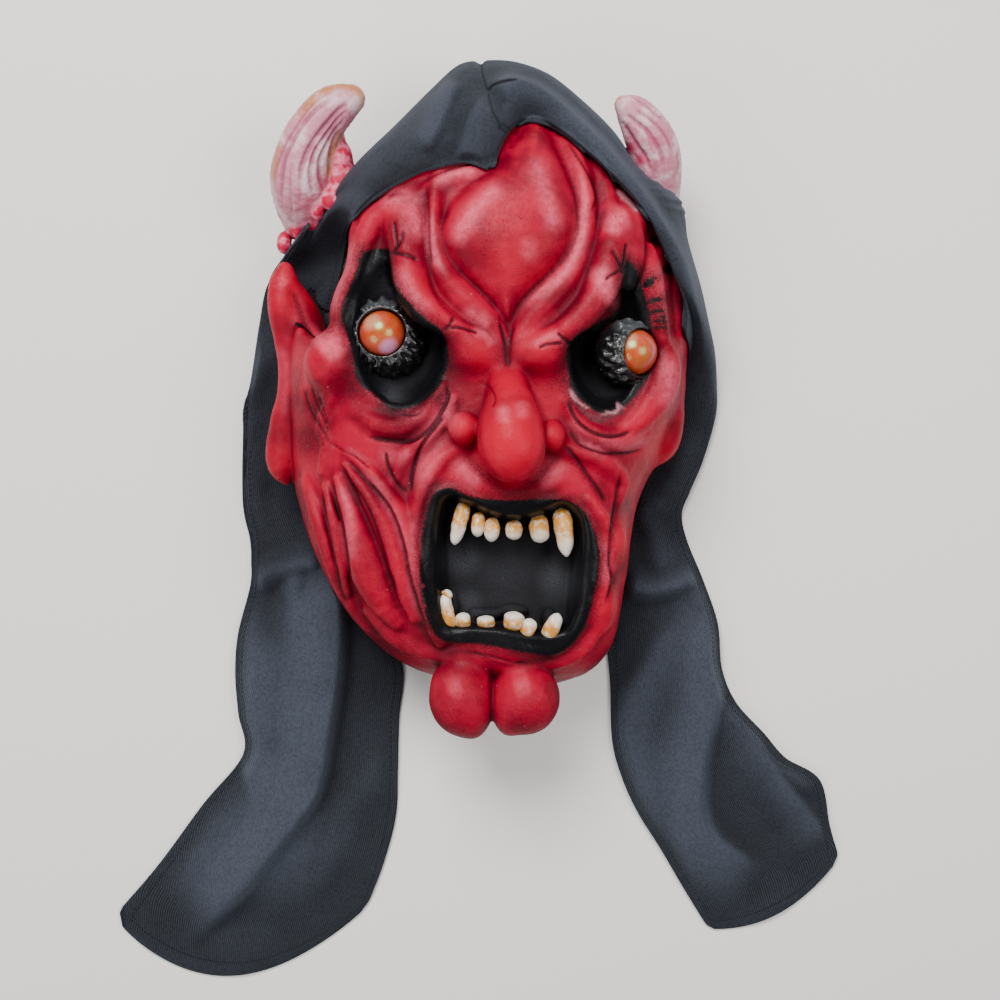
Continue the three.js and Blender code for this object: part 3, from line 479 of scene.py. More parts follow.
# The part of the hood below the head, as one flat panel: its edge toward the neck, in mm
PANEL_EDGE = [
    (-76, -50), (-88, -30), (-94, 10), (-84, 44), (-44, 62), (0, 66), (48, 62), (78, 46), (76, 12),
    (58, -40),
]
# Seams and stitched tucks in the hood, with the painted shadow line of the crown's overlap: width and depth
# in mm
SEAMS_AND_SHADOW_LINE = [
    (0.6, 1.2, [(481, 57), (482, 70), (485, 82), (488, 92)]),
    (0.6, 0.9, [(488, 92), (490, 102), (494, 114), (500, 125), (504, 131)]),
    # The crown's pinched overlap: a tuck whose dark line is painted shadow
    (0.8, 1.4, [(488, 92), (493, 86), (502, 82), (519, 79)]),
    (0.5, 1.2, [(497, 127), (503, 130), (507, 134)]), (0.5, 1.2, [(502, 122), (507, 128), (511, 129)]),
]
# Ridges of the cloth as seen: half width in mm on its left and on its right side, height
RIDGES = [
    (30, 4.5, 17, [(312, 556), (328, 582), (338, 612), (336, 668), (326, 736), (316, 790), (296, 822),
                   (272, 853), (248, 884), (215, 915), (182, 946)]),
    (7, 9, 9, [(300, 566), (296, 588), (301, 612), (318, 642), (322, 668), (318, 700)]),
    (4.5, 30, 12, [(250, 584), (238, 650), (238, 714), (245, 757), (255, 785), (264, 823), (262, 847),
                   (247, 874), (222, 902)]), (8, 7, 8, [(252, 588), (272, 573), (298, 565), (326, 562)]),
    (13, 13, 4, [(397, 740), (362, 790), (332, 850), (302, 905)]),
    (9, 9, 4, [(232, 800), (202, 850), (162, 900)]),
    (6, 8, 11, [(622, 584), (648, 591), (676, 586), (700, 576)]),
    (9, 24, 9, [(696, 606), (660, 650), (634, 700), (622, 740), (636, 790), (652, 830), (670, 870)]),
    (26, 4.5, 14, [(690, 548), (712, 610), (720, 662), (714, 717), (706, 746), (701, 780), (702, 816),
                   (714, 842), (740, 861), (772, 876)]),
    (16, 4, 9, [(722, 686), (741, 711), (757, 735), (766, 760), (788, 794), (813, 826), (828, 850)]),
    (6, 6, 5, [(735, 700), (765, 742), (795, 778), (820, 784)]),
    (8, 10, 6, [(640, 500), (655, 540), (664, 580)]), (9, 9, 5, [(690, 430), (672, 480), (650, 520)]),
    (12, 12, 4, [(470, 72), (440, 118), (400, 150), (352, 192), (300, 240)]),
    (3, 15, 7, [(489, 94), (476, 114), (469, 132), (464, 150), (460, 172)]),
    (10, 5, 7, [(456, 76), (448, 100), (436, 128), (420, 156)]),
    (15, 3, 8, [(486, 90), (500, 82), (516, 80), (545, 92), (582, 124), (620, 164), (655, 212), (686, 268),
                (700, 330), (704, 380)]), (4, 7, 4, [(516, 66), (512, 92), (509, 114), (499, 150)]),
    (8, 8, 3, [(460, 130), (430, 148), (396, 172)]),
    (7, 7, 3, [(548, 116), (590, 142), (634, 192), (660, 232)]),
    (7, 7, 3, [(262, 330), (254, 400), (254, 470), (262, 540)]),
]


def rgb(red, green, blue):
    """A colour as seen on a screen, 0 to 255, in the linear values that shaders take."""
    share = np.array([red, green, blue]) / 255
    return (*np.where(share <= 0.04045, share / 12.92, ((share + 0.055) / 1.055) ** 2.4), 1.0)


def detail(full, quick):
    return full


def catmull(rows, steps, closed=False):
    """A smooth route through rows of numbers."""
    rows = np.asarray(rows, float)
    if closed:
        padded = np.vstack([rows[-1], rows, rows[0], rows[1]])
        spans = len(rows)
    else:
        padded = np.vstack([2 * rows[0] - rows[1], rows, 2 * rows[-1] - rows[-2]])
        spans = len(rows) - 1
    turn = np.linspace(0, spans, steps, endpoint=not closed)
    index = np.minimum(turn.astype(int), spans - 1)
    share = (turn - index)[:, None]
    a, b, c, d = (padded[index + k] for k in range(4))
    bend = (2 * a - 5 * b + 4 * c - d) * share**2 + (3 * b - a - 3 * c + d) * share**3
    return 0.5 * (2 * b + (c - a) * share + bend)


LATTICE = np.random.default_rng(7).random((64, 64, 64)).astype(np.float32)


def blended(values, cell, share):
    """Values at the corners of a grid's cells, blended by how far into the cells the places lie."""
    total = 0
    for corner in itertools.product((0, 1), repeat=3):
        weight = np.prod(np.where(corner, share, 1 - share), axis=-1)
        at = (cell + corner) % values.shape
        total = total + weight * values[at[..., 0], at[..., 1], at[..., 2]]
    return total


def noise(points, size, seed=0):
    """Smooth noise from 0 to 1 with grains of a given size."""
    place = np.asarray(points, float) / size + 7.31 * seed
    cell = np.floor(place).astype(int)
    return blended(LATTICE, cell, smooth_step(place - cell, 0, 1))


def smooth_step(value, low, high):
    share = np.clip((value - low) / (high - low), 0, 1)
    return share * share * (3 - 2 * share)


# The plain dome of the face
rim_route = catmull(RIM, 600, closed=True)[:, :2] - CENTRE
rim_angle = np.arctan2(rim_route[:, 1], rim_route[:, 0])
rim_order = np.argsort(rim_angle)
rim_angle = rim_angle[rim_order]
rim_length = np.hypot(*rim_route.T)[rim_order]


def rim_radius(angle):
    return np.interp(angle, rim_angle, rim_length, period=2 * math.pi)


def reach(x, y):
    """How far out a place lies, from 0 at the centre to 1 on the rim."""
    return np.hypot(x - CENTRE[0], y - CENTRE[1]) / rim_radius(np.arctan2(y - CENTRE[1], x - CENTRE[0]))


def dome(x, y):
    out = np.minimum(reach(x, y), 1)
    fullness = 4 + 3 * np.maximum(0, -np.sin(np.arctan2(y - CENTRE[1], x - CENTRE[0]))) ** 2
    return RIM_LEVEL + FACE_HEIGHT * (1 - out**fullness) ** 0.42


def scale_at(z):
    """Millimetres for a thousandth of the picture at a height."""
    return VIEW_WIDTH / PICTURE * (CAMERA_HEIGHT - z) / CAMERA_HEIGHT


def from_picture(across, down, z):
    k = scale_at(z)
    return (np.asarray(across) - PICTURE / 2) * k, (PICTURE / 2 - np.asarray(down)) * k


def to_picture(points):
    """Where 3-D points appear, across and down."""
    k = scale_at(points[:, 2])
    return np.column_stack([PICTURE / 2 + points[:, 0] / k, PICTURE / 2 - points[:, 1] / k])


def seen(across, down, above=0.0):
    """The place on the plain face, or a height above it, that appears there."""
    z = np.full(np.shape(across), 85.0)
    for _ in range(8):
        x, y = from_picture(across, down, z)
        z = dome(x, y) + above
    return x, y, z


def nearest(places, route, margin):
    """For the places within a margin of a route: their numbers, distance, share along it and side."""
    low, high = route[:, :2].min(0) - margin, route[:, :2].max(0) + margin
    index = np.flatnonzero(np.all((places > low) & (places < high), axis=1))
    spot = places[index]
    best = np.full(len(spot), np.inf)
    along = np.zeros(len(spot))
    side = np.ones(len(spot))
    for i in range(len(route) - 1):
        start, run = route[i, :2], route[i + 1, :2] - route[i, :2]
        share = np.clip((spot - start) @ run / max(run @ run, 1e-9), 0, 1)
        away = spot - start - share[:, None] * run
        distance = np.hypot(*away.T)
        closer = distance < best
        best[closer] = distance[closer]
        along[closer] = (i + share[closer]) / (len(route) - 1)
        side[closer] = np.sign(run[0] * away[closer, 1] - run[1] * away[closer, 0])
    return index, best, along, side


def inside_distance(places, outline):
    """Signed distance to a closed outline, positive inside."""
    ring = np.vstack([outline, outline[:1]])
    best = np.full(len(places), np.inf)
    inside = np.zeros(len(places), bool)
    for start, end in zip(ring[:-1], ring[1:]):
        run = end - start
        share = np.clip((places - start) @ run / max(run @ run, 1e-9), 0, 1)
        best = np.minimum(best, np.hypot(*(places - start - share[:, None] * run).T))
        crosses = (start[1] > places[:, 1]) != (end[1] > places[:, 1])
        inside ^= crosses & (places[:, 0] < start[0] + (places[:, 1] - start[1]) * run[0] / (run[1] or 1e-9))
    return np.where(inside, best, -best)


def tapered_ends(along, share=0.15):
    """From 0 at a route's ends to 1 a share of its length in."""
    return smooth_step(along, -0.02, share) * (1 - smooth_step(along, 1 - share, 1.02))


def from_tube(x, y, z, route):
    """How far places lie from a body of round section along x, y, z, radius."""
    best = np.inf
    for a, b in zip(route[:-1], route[1:]):
        run = b[:3] - a[:3]
        share = (x - a[0]) * run[0] + (y - a[1]) * run[1] + (z - a[2]) * run[2]
        share = np.clip(share / max(run @ run, 1e-6), 0, 1)
        away = np.sqrt(sum((v - c - share * r) ** 2 for v, c, r in zip((x, y, z), a, run)))
        best = np.minimum(best, away - (a[3] + share * (b[3] - a[3])))
    return best


class Field:
    """Signed distances on a grid, negative inside the body."""

    def __init__(self, low, high, step):
        self.low, self.step = np.array(low, float), step
        self.axes = [np.arange(a, b, step, dtype=np.float32) for a, b in zip(low, high)]
        self.d = None

    def window(self, low, high):
        """A part of the grid, and its places along x, y and z."""
        part = tuple(slice(*np.searchsorted(axis, ends)) for axis, *ends in zip(self.axes, low, high))
        shapes = [(-1, 1, 1), (1, -1, 1), (1, 1, -1)]
        return part, [axis[cut].reshape(shape) for axis, cut, shape in zip(self.axes, part, shapes)]

    def join(self, low, high, distance, blend, cut=False):
        """Joins a body with a fillet, or takes it away with a rounded edge."""
        part, at = self.window(low, high)
        sign = -1 if cut else 1
        old, new = sign * self.d[part], distance(*at)
        near = np.maximum(blend - np.abs(old - new), 0) / blend
        self.d[part] = sign * (np.minimum(old, new) - near * near * blend / 4)

    def ellipsoid(self, at, half, blend=4.0, cut=False):
        at, half = np.asarray(at, float), np.asarray(half, float)

        def distance(x, y, z):
            place = [(v - c) / h for v, c, h in zip((x, y, z), at, half)]
            length = np.sqrt(sum(p * p for p in place))
            slope = np.sqrt(sum((p / h) ** 2 for p, h in zip(place, half)))
            return length * (length - 1) / np.maximum(slope, 1e-4)

        self.join(at - half - blend - 4, at + half + blend + 4, distance, blend, cut)

    def tube(self, stations, steps=14, blend=3.0):
        """A body of round section along x, y, z, radius."""
        route = catmull(stations, steps)
        wide = route[:, 3:].max() + blend + 4
        low, high = route[:, :3].min(0) - wide, route[:, :3].max(0) + wide
        self.join(low, high, lambda x, y, z: from_tube(x, y, z, route), blend)

    def sample(self, points, values=None):
        """Values between the grid's points."""
        values = self.d if values is None else values
        place = np.clip((points - self.low) / self.step, 0, np.array(values.shape) - 1.001)
        cell = place.astype(int)
        return blended(values, cell, place - cell)

    def mesh(self):
        grid = vdb.FloatGrid(100.0)
        grid.copyFromArray(np.ascontiguousarray(self.d, np.float32))
        points, triangles, quads = grid.convertToPolygons(isovalue=0.0, adaptivity=0.0)
        return points * self.step + self.low, [tuple(face) for face in triangles.tolist() + quads.tolist()]


def blurred(values, times):
    """Values smoothed along all three axes."""
    for axis in range(3):
        for _ in range(times):
            values = np.moveaxis(values, axis, 0)
            middle = values[1:-1] * 0.5 + (values[2:] + values[:-2]) * 0.25
            values = np.concatenate([values[:1], middle, values[-1:]])
            values = np.moveaxis(values, 0, axis)
    return values


# The place of the working origin in the row's frame
low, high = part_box("eye_left")
SHIFT = np.array((low + high) / 2) - np.array(EYES["left"]) / 1000


def piece(name, points, faces, slot, *nodes, attributes=None):
    """A smooth object that rides on the root body and stands for CAD nodes."""
    mesh = bpy.data.meshes.new(name)
    mesh.from_pydata(np.asarray(points, float) / 1000 + SHIFT, [], faces)
    mesh.validate()
    mesh.polygons.foreach_set("use_smooth", [True] * len(mesh.polygons))
    for key, values in (attributes or {}).items():
        mesh.attributes.new(key, "FLOAT", "POINT").data.foreach_set("value", np.asarray(values, np.float32))
    made = bpy.data.objects.new(name, mesh)
    bpy.context.scene.collection.objects.link(made)
    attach(made, "root")
    if nodes:
        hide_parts(*nodes)
    return made


def normals_of(points, faces):
    mesh = bpy.data.meshes.new("scratch")
    mesh.from_pydata(points, [], faces)
    found = np.zeros(len(points) * 3)
    mesh.vertex_normals.foreach_get("vector", found)
    bpy.data.meshes.remove(mesh)
    return found.reshape(-1, 3)


def thinned(made, chosen, left):
    """Thins out the chosen points of an object until a number of triangles is left."""
    group = made.vertex_groups.new(name="chosen")
    group.add(np.flatnonzero(chosen).tolist(), 1.0, "REPLACE")
    change = made.modifiers.new("thinned", "DECIMATE")
    change.vertex_group = group.name
    made.data.calc_loop_triangles()
    change.ratio = left / len(made.data.loop_triangles)
    old = made.data
    made.data = bpy.data.meshes.new_from_object(made.evaluated_get(bpy.context.evaluated_depsgraph_get()))
    made.modifiers.clear()
    made.vertex_groups.clear()
    name = old.name
    bpy.data.meshes.remove(old)
    made.data.name = name


def values_of(made, name):
    """An attribute's value at each point of an object."""
    values = np.zeros(len(made.data.vertices), np.float32)
    made.data.attributes[name].data.foreach_get("value", values)
    return values


def bulge_height(points):
    """How far the forehead's bulge stands above the plain dome."""
    deep = inside_distance(to_picture(points), catmull(BULGE, 90, closed=True)) * scale_at(points[:, 2])
    return BULGE_HEIGHT * np.sqrt(1 - (1 - np.clip(deep / BULGE_EDGE, 0, 1)) ** 2)


HEAD_ROOM = ((-131, -126, -2), (116, 222, 126))  # the box that the head is worked out in
KNOWN = 16  # how far from the dome its distances are worked out
SKIRT = 12  # how far the dome goes on below its rim


def base_field(step):
    """The dome with the forehead's bulge, as distances."""
    rings, turns = 150, 260
    out = 1 - (1 - np.linspace(0, 1, rings + 1)[1:]) ** 1.7
    angle = np.linspace(-math.pi, math.pi, turns, endpoint=False)
    radius = out[:, None] * rim_radius(angle)[None]
    x = (CENTRE[0] + radius * np.cos(angle)).ravel()
    y = (CENTRE[1] + radius * np.sin(angle)).ravel()
    shell = np.column_stack([x, y, dome(x, y)])
    shell[:-turns, 2] += bulge_height(shell[:-turns])
    bottom = RIM_LEVEL - SKIRT
    foot = np.column_stack([x[-turns:], y[-turns:], np.full(turns, bottom)])
    points = np.vstack([shell, foot, [*CENTRE, dome(*map(float, CENTRE))], [*CENTRE, bottom]])
    last = (rings + 1) * turns
    triangles = []
    for turn in range(turns):
        after = (turn + 1) % turns
        for ring in range(0, last - turns, turns):
            a, b = ring + turn, ring + after
            triangles += [(a, a + turns, b + turns), (a, b + turns, b)]
        triangles += [(last, turn, after), (last + 1, last - turns + after, last - turns + turn)]
    field = Field(*HEAD_ROOM, step)
    grid = vdb.FloatGrid.createLevelSetFromPolygons(
        ((points - field.low) / step).astype(np.float32),
        triangles=np.array(triangles, np.uint32),
        transform=vdb.createLinearTransform(1.0),
        halfWidth=KNOWN / step,
    )
    field.d = np.full([len(axis) for axis in field.axes], KNOWN / step, np.float32)
    grid.copyToArray(field.d)
    field.d *= step
    return field


def fold_stations(rows):
    """A fold's route on the face: x, y, z of its middle line and its radius."""
    rows = np.asarray(rows, float)
    x, y, z = seen(rows[:, 0], rows[:, 1], rows[:, 3])
    radius = rows[:, 2] * scale_at(z)
    return np.column_stack([x, y, z - radius, radius])


def prism(outline, slope, level, floor):
    """The room above a floor, inside an outline that holds at a level, with walls that slope."""
    ring = catmull(outline, 120, closed=True)

    def distance(x, y, z):
        flat = np.stack(np.broadcast_arrays(x[..., 0], y[..., 0]), axis=-1)
        deep = inside_distance(flat.reshape(-1, 2).astype(float), ring).reshape(flat.shape[:2])
        wall = slope * (level - z) - deep[..., None]
        return np.maximum(wall, (floor(y) if callable(floor) else floor) - z).astype(np.float32)

    return distance


def mouth_floor(y):
    """The mouth's floor, which rises to a gum at each end."""
    low, high = THROAT_Y
    rise = smooth_step(y, high - 4, high + 14) + smooth_step(-y, -low - 4, 10 - low)
    return MOUTH_FLOOR + GUM_RISE * rise


def mask_field(step):
    """The cast head as distances, with and without its ears and chin lobes."""
    field = base_field(step)
    for place, half, above in SOCKETS:
        x, y, z = seen(*map(float, place))
        field.ellipsoid((x, y, z + above), half, 3.0, cut=True)
    for outline, level, slope in TEMPLES:
        route = np.column_stack(from_picture(*np.array(outline, float).T, TEMPLE_LEVEL))
        low, high = (*route.min(0) - 8, level - 8), (*route.max(0) + 8, 112)
        field.join(low, high, prism(route, slope, TEMPLE_LEVEL, level), 5.0, cut=True)
    for rows in FOLDS.values():
        field.tube(fold_stations(rows))
    for place, half, above in SWELLINGS.values():
        x, y, z = seen(*map(float, place), above)
        field.ellipsoid((x, y, z - half[2]), half, 7)
    nose = [(*seen(float(across), float(down), above), radius) for across, down, above, radius in NOSE]
    field.tube([(x, y, z - radius, radius) for x, y, z, radius in nose], steps=24, blend=4)
    for at, half in NOSE_WINGS:
        field.ellipsoid(at, half, 3.2)
    # The mouth: a roll round its edge, laid in short lengths, then the recess
    roll = catmull(np.column_stack(from_picture(*np.array(LIPS).T, LIP_LEVEL)), 44, closed=True)
    roll = roll.mean(0) + (roll - roll.mean(0)) * 0.95
    ring = np.column_stack([roll, dome(*roll.T) - 2.6, np.full(len(roll), LIP_RADIUS)])
    for start in range(0, len(ring), 11):
        field.tube(np.vstack([ring, ring[:2]])[start:start + 13], steps=13, blend=2.5)
    recess = np.column_stack(from_picture(*np.array(RECESS).T, RECESS_LEVEL))
    hollow = prism(recess, RECESS_SLOPE, LIP_LEVEL, mouth_floor)
    field.join((-60, -95, 50), (62, 20, 110), hollow, 4, cut=True)
    for place, half in STUBS:
        field.ellipsoid((*from_picture(*place, 72), 69), half, 1.5)
    head = Field(field.low, field.low, step)
    head.d = field.d.copy()
    for stations, steps in ((LEFT_EAR, 28), (LEFT_EAR_FRONT, 14), (RIGHT_EAR, 20)):
        field.tube(stations, steps)
    for at, half, blend in EAR_FLESH + LOBES:
        field.ellipsoid(at, half, blend)
    field.tube(LOBE_BRIDGE, steps=6, blend=5)
    return field, head


def hollowed(field):
    """The shell of one wall's thickness, open below and arched for the neck."""
    soft = blurred(field.d, max(1, round(4 / field.step**2)))
    shell = np.maximum(field.d, -(np.maximum(soft, field.d) + WALL))
    x, y, z = field.window((-999,) * 3, (999,) * 3)[1]
    radius = ((NECK_WIDTH / 2) ** 2 + NECK_HEIGHT**2) / (2 * NECK_HEIGHT)
    arch = radius - np.sqrt((x - NECK_MIDDLE) ** 2 + (z - NECK_HEIGHT + radius) ** 2)
    shell = np.maximum(shell, np.minimum(arch, NECK_DEPTH - y))
    shell = np.maximum(shell, RIM_LEVEL - z)
    for at in EYES.values():
        seat = EYE_RADIUS + SEAT_GAP - np.sqrt(sum((v - c) ** 2 for v, c in zip((x, y, z), at)))
        shell = np.maximum(shell, seat)
    return shell.astype(np.float32)


FACE_STEP = detail(1.1, 2.0)
# Triangles left in the mask once its inside, and then its outside, is thinned out
INSIDE_THINNED = 332000
FACE_TRIANGLES = 192000
STROKE_REACH = 22  # how far round a line its paint is worked out, in the picture
UNPAINTED = -20
SKIN_GRAIN = [(2.2, 0.16), (7, 0.5)]  # the latex's unevenness: size and depth of its grains


def depth_in(outline, places, k, steps=120):
    """How far inside an outline places in the picture lie, in mm."""
    return inside_distance(places, catmull(outline, steps, closed=True)) * k


def strokes(places, k, lines, ends=0.12):
    """The strength of lines of a width, strength and route at places in the picture."""
    total = np.zeros(len(places))
    for width, strength, route in lines:
        index, distance, along, _ = nearest(places, catmull(route, 5 * len(route)), STROKE_REACH)
        here = strength * np.exp(-((distance * k[index] / width) ** 2)) * tapered_ends(along, ends)
        total[index] = np.maximum(total[index], here)
    return total


def patches(places, k, spots):
    """The strength of soft spots of a place, size and strength at places in the picture."""
    total = np.zeros(len(places))
    for place, size, strength in spots:
        distance = np.hypot(*(places - place).T) * k
        total = np.maximum(total, strength * np.exp(-((distance / size) ** 2)))
    return total


def make_mask():
    """The cast latex with its paint, and the distances from its head."""
    field, head = mask_field(FACE_STEP)
    body = field.d
    bumps = blurred(body, round(5 / FACE_STEP**2)) - body
    broad = blurred(body[::2, ::2, ::2], round(24 / FACE_STEP**2))
    coarse = Field(field.low, field.low + 1, FACE_STEP * 2)
    field.d = hollowed(field)
    points, faces = field.mesh()
    outer = field.sample(points, body) > -1
    normal = normals_of(points, faces)
    places, k = to_picture(points), scale_at(points[:, 2])
    front = outer & (normal[:, 2] > 0.05)
    lines = strokes(places, k, CREASES) * front
    rough = sum((noise(points, size, seed) - 0.5) * deep for seed, (size, deep) in enumerate(SKIN_GRAIN, 1))
    # How deep each point lies in black, in mm, negative outside it: paint, and painted shade at the left
    # temple
    lips = depth_in(LIPS, places, k)
    black = np.maximum(lips, UNPAINTED)
    for outline in SOCKET_PAINT:
        black = np.maximum(black, depth_in(outline, places, k))
    # Low behind the left temple, where the hood leaves a dark gap, the latex is black painted shade
    temple_in_shade = (points[:, 2] < 50) & (head.sample(points) < 0.6)
    black = np.where(temple_in_shade, np.maximum(black, depth_in(TEMPLES[0][0], places, k, 60)), black)
    for width, route in STRIPES:
        index, distance, along, _ = nearest(places, catmull(route, 12), STROKE_REACH)
        stripe = width * 0.7 * tapered_ends(along, 0.3) - distance * k[index]
        black[index] = np.maximum(black[index], stripe)
    black = np.where(outer & (normal[:, 2] > -0.3), black, UNPAINTED)
    torn = inside_distance(places, np.array(TORN, float)) * k
    rim = 0.4 * np.exp(-((torn / 0.5) ** 2)) * smooth_step(black, -1.5, 0)
    rim = np.maximum(rim, strokes(places, k, RAW_EDGES)) * front
    for place, size in CHIPS:
        torn = np.maximum(torn, size - np.hypot(*(places - place).T) * k)
    fine, wide = field.sample(points, bumps), coarse.sample(points, broad)
    points = points + normal * (rough * outer - lines)[:, None]
    inside = field.sample(points, body) < -1.8
    attributes = {
        "black": black,
        "torn": np.where(front, torn, UNPAINTED),
        "rim": rim,
        "line": lines,
        "fine": fine,
        "wide": wide,
        "airbrush_and_shade": np.maximum(patches(places, k, AIRBRUSH_AND_SHADE_SPOTS), strokes(places, k, AIRBRUSH_AND_SHADE_LINES)) * outer,
        "drybrush_and_highlight": strokes(places, k, DRYBRUSH_AND_HIGHLIGHT_LINES, 0.25) * outer,
        "bright": patches(places, k, BRIGHTS) * outer,
        "satin": smooth_step(-points[:, 2], -76, -70) * (black > 3),
        "grey_sheen": patches(places, k, GREY_SHEEN_SPOTS) * (black > 3),
        "hidden": ~outer,
        "inner": inside & ((lips < -4) | (points[:, 2] < MOUTH_FLOOR - 2)),
    }
    made = piece("mask_latex", points, faces, "latex", "mask", attributes=attributes)
    # First the plain inside, then the outside away from painted edges
    thinned(made, values_of(made, "hidden") > 0, INSIDE_THINNED)
    edge = np.abs(values_of(made, "black")) < 0.9
    edge |= np.abs(values_of(made, "torn")) < 1
    edge |= values_of(made, "line") > 0.25
    thinned(made, (values_of(made, "hidden") == 0) & ~edge, FACE_TRIANGLES)
    return made, head


def lofted(rings):
    """Points and faces of a body from rings of points, with a middle point at each end."""
    rings = np.asarray(rings, float)
    count, sides = rings.shape[:2]
    points = np.vstack([rings.reshape(-1, 3), rings[0].mean(0), rings[-1].mean(0)])
    faces = []
    for ring in range(count - 1):
        for side in range(sides):
            a, b = ring * sides + side, ring * sides + (side + 1) % sides
            faces.append((a, b, b + sides, a + sides))
    first, last = count * sides, count * sides + 1
    for side in range(sides):
        after = (side + 1) % sides
        faces.append((first, after, side))
        faces.append((last, (count - 1) * sides + side, (count - 1) * sides + after))
    return points, faces


def circle_of(turns):
    """Angles all the way round."""
    return np.linspace(0, 2 * math.pi, turns, endpoint=False)


def turned_to(axis):
    """An axis and two directions square to it, all one long."""
    axis = np.asarray(axis, float) / np.linalg.norm(axis)
    first = np.cross(axis, (0.0, 1.0, 0.0))
    first /= np.linalg.norm(first)
    return axis, first, np.cross(axis, first)


# A lid's section round its eye: radius and height along the axis, up the outside to the lip and in again
LID_SECTIONS = {
    "left": [
        (15, -26), (20, -22), (21.5, -16), (21, -9), (19.5, -3), (17, 1.8), (14.2, 4.6), (12.6, 5.4),
        (11.8, 4.8), (11.6, 2), (11.6, -3), (8, -10), (2, -12.2),
    ],
    "right": [
        (8, -26), (10, -20), (12.6, -14), (15, -9), (16.4, -4), (16, 0.5), (14.4, 4), (12.7, 5.2),
        (11.8, 4.8), (11.6, 2), (11.6, -3), (8, -10), (2, -12.2),
    ],
}
LIDS = {
    "left": {"axis": (0.05, 0.02, 1), "wrinkles": 17, "offset": (1.6, -1.6, 0), "seed": 3},
    "right": {"axis": (0.62, -0.08, 0.78), "wrinkles": 15, "offset": (-2.4, 0, 0), "seed": 5},
}
# The lids' grey sheen on this side is painted
LID_SHEEN = np.array([-0.1, 0.93, 0.36])  # the side on which the lids' gloss is grey


def make_lid(side):
    """The lumpy eyelid round a marble."""
    form = LIDS[side]
    axis, first, second = turned_to(form["axis"])
    section = catmull(LID_SECTIONS[side], detail(64, 24))
    angle = circle_of(detail(240, 72))
    round_axis = np.cos(angle)[:, None] * first + np.sin(angle)[:, None] * second
    centre = np.array(EYES[side], float)
    rings = []
    for i, (radius, height) in enumerate(section):
        flank = smooth_step(radius, 12.4, 15.5) * (1 - smooth_step(i / len(section), 0.62, 0.7))
        circle = np.column_stack([np.cos(angle), np.sin(angle), np.full(len(angle), i * 0.06)])
        wander = noise(circle * (2.6, 2.6, 1), 1.0, form["seed"]) * 5
        lump = np.sin(form["wrinkles"] * angle + wander)
        ridge = 0.5 + 0.2 * lump + 0.3 * lump * np.sin(0.55 * i + 1.5 * wander)
        swell = noise(circle * 1.2, 1.0, form["seed"] + 1) - 0.5
        out = radius + flank * (2.4 * (ridge - 0.6) + 1.6 * swell)
        up = height + flank * (2.0 * (ridge - 0.6) + 1.2 * swell)
        middle = centre + np.array(form["offset"]) * flank
        rings.append(middle + out[:, None] * round_axis + up[:, None] * axis)
    points, faces = lofted(rings)
    away = points - centre
    sheen = away @ LID_SHEEN / np.linalg.norm(away, axis=1)
    return piece(f"lid_{side}", points, faces, "latex", "mask", attributes={"sheen": sheen})


# The sides of a marble that carry painted lilac and pale reflections
LILAC_REFLECTION_SIDES = {"left": np.array([0.36, -0.7, 0.62]), "right": np.array([-0.75, -0.5, 0.43])}
PALE_REFLECTION_SIDE = np.array([-0.42, 0.45, 0.79])


def make_eye(side):
    """A marble, and how far each of its points faces the sides with painted reflections."""
    angle = circle_of(detail(96, 32))
    circle = np.column_stack([np.cos(angle), np.sin(angle), 0 * angle])
    turns = np.linspace(0, math.pi, detail(48, 16) + 1)[1:-1]
    points, faces = lofted([circle * math.sin(turn) - (0, 0, math.cos(turn)) for turn in turns])
    points[-2:] = (0, 0, -1), (0, 0, 1)
    attributes = {"lilac_reflection": points @ LILAC_REFLECTION_SIDES[side], "pale_reflection": points @ PALE_REFLECTION_SIDE}
    points = np.array(EYES[side], float) + EYE_RADIUS * points
    return piece(f"marble_{side}", points, faces, "marble", f"eye_{side}", attributes=attributes)


# For a tooth's root and tip: the level at which its place as seen is taken, and the level where it lies
TOOTH_LEVELS = (76, 73.5), (79, 76)


def make_teeth():
    """The single teeth, each a blunt uneven cone."""
    points, faces, root = [], [], []
    angle = circle_of(detail(28, 12))
    for number, (start, end, widths) in enumerate([*TEETH, HOOK]):
        start, end = (
            np.array([*from_picture(*place, seen_at), level])
            for place, (seen_at, level) in zip((start, end), TOOTH_LEVELS)
        )
        run = end - start
        across = np.array([-run[1], run[0], 0]) / np.hypot(run[0], run[1])
        rings = []
        shares = np.linspace(0, 1, 18)
        for share in shares:
            round_end = math.sqrt(max(1 - (max(0, share - 0.72) / 0.285) ** 2, 0.003))
            round_start = math.sqrt(max(1 - (max(0, 0.25 - share) / 0.255) ** 2, 0.01))
            half = np.interp(share, [0, 0.45, 1], widths) / 2 * min(round_end, round_start)
            middle = start + share * run + (0, 0, 2.0 * math.sin(math.pi * share))
            ring = middle + half * (np.cos(angle)[:, None] * across + np.sin(angle)[:, None] * (0, 0, 0.95))
            wobble = (noise(ring, 3.0, number) - 0.5) * 0.9
            rings.append(ring + (ring - middle) / max(half, 0.5) * wobble[:, None] * min(1, half / 2))
        more, more_faces = lofted(rings)
        before = sum(map(len, points))
        faces += [tuple(index + before for index in face) for face in more_faces]
        points.append(more)
        root += [*np.repeat(shares, len(angle)), 0, 1]
    return piece("teeth", np.vstack(points), faces, "latex", "mask", attributes={"along": root})


FLUTES = 9  # round the hidden side of a horn
FLESH_BLEND = 2.6


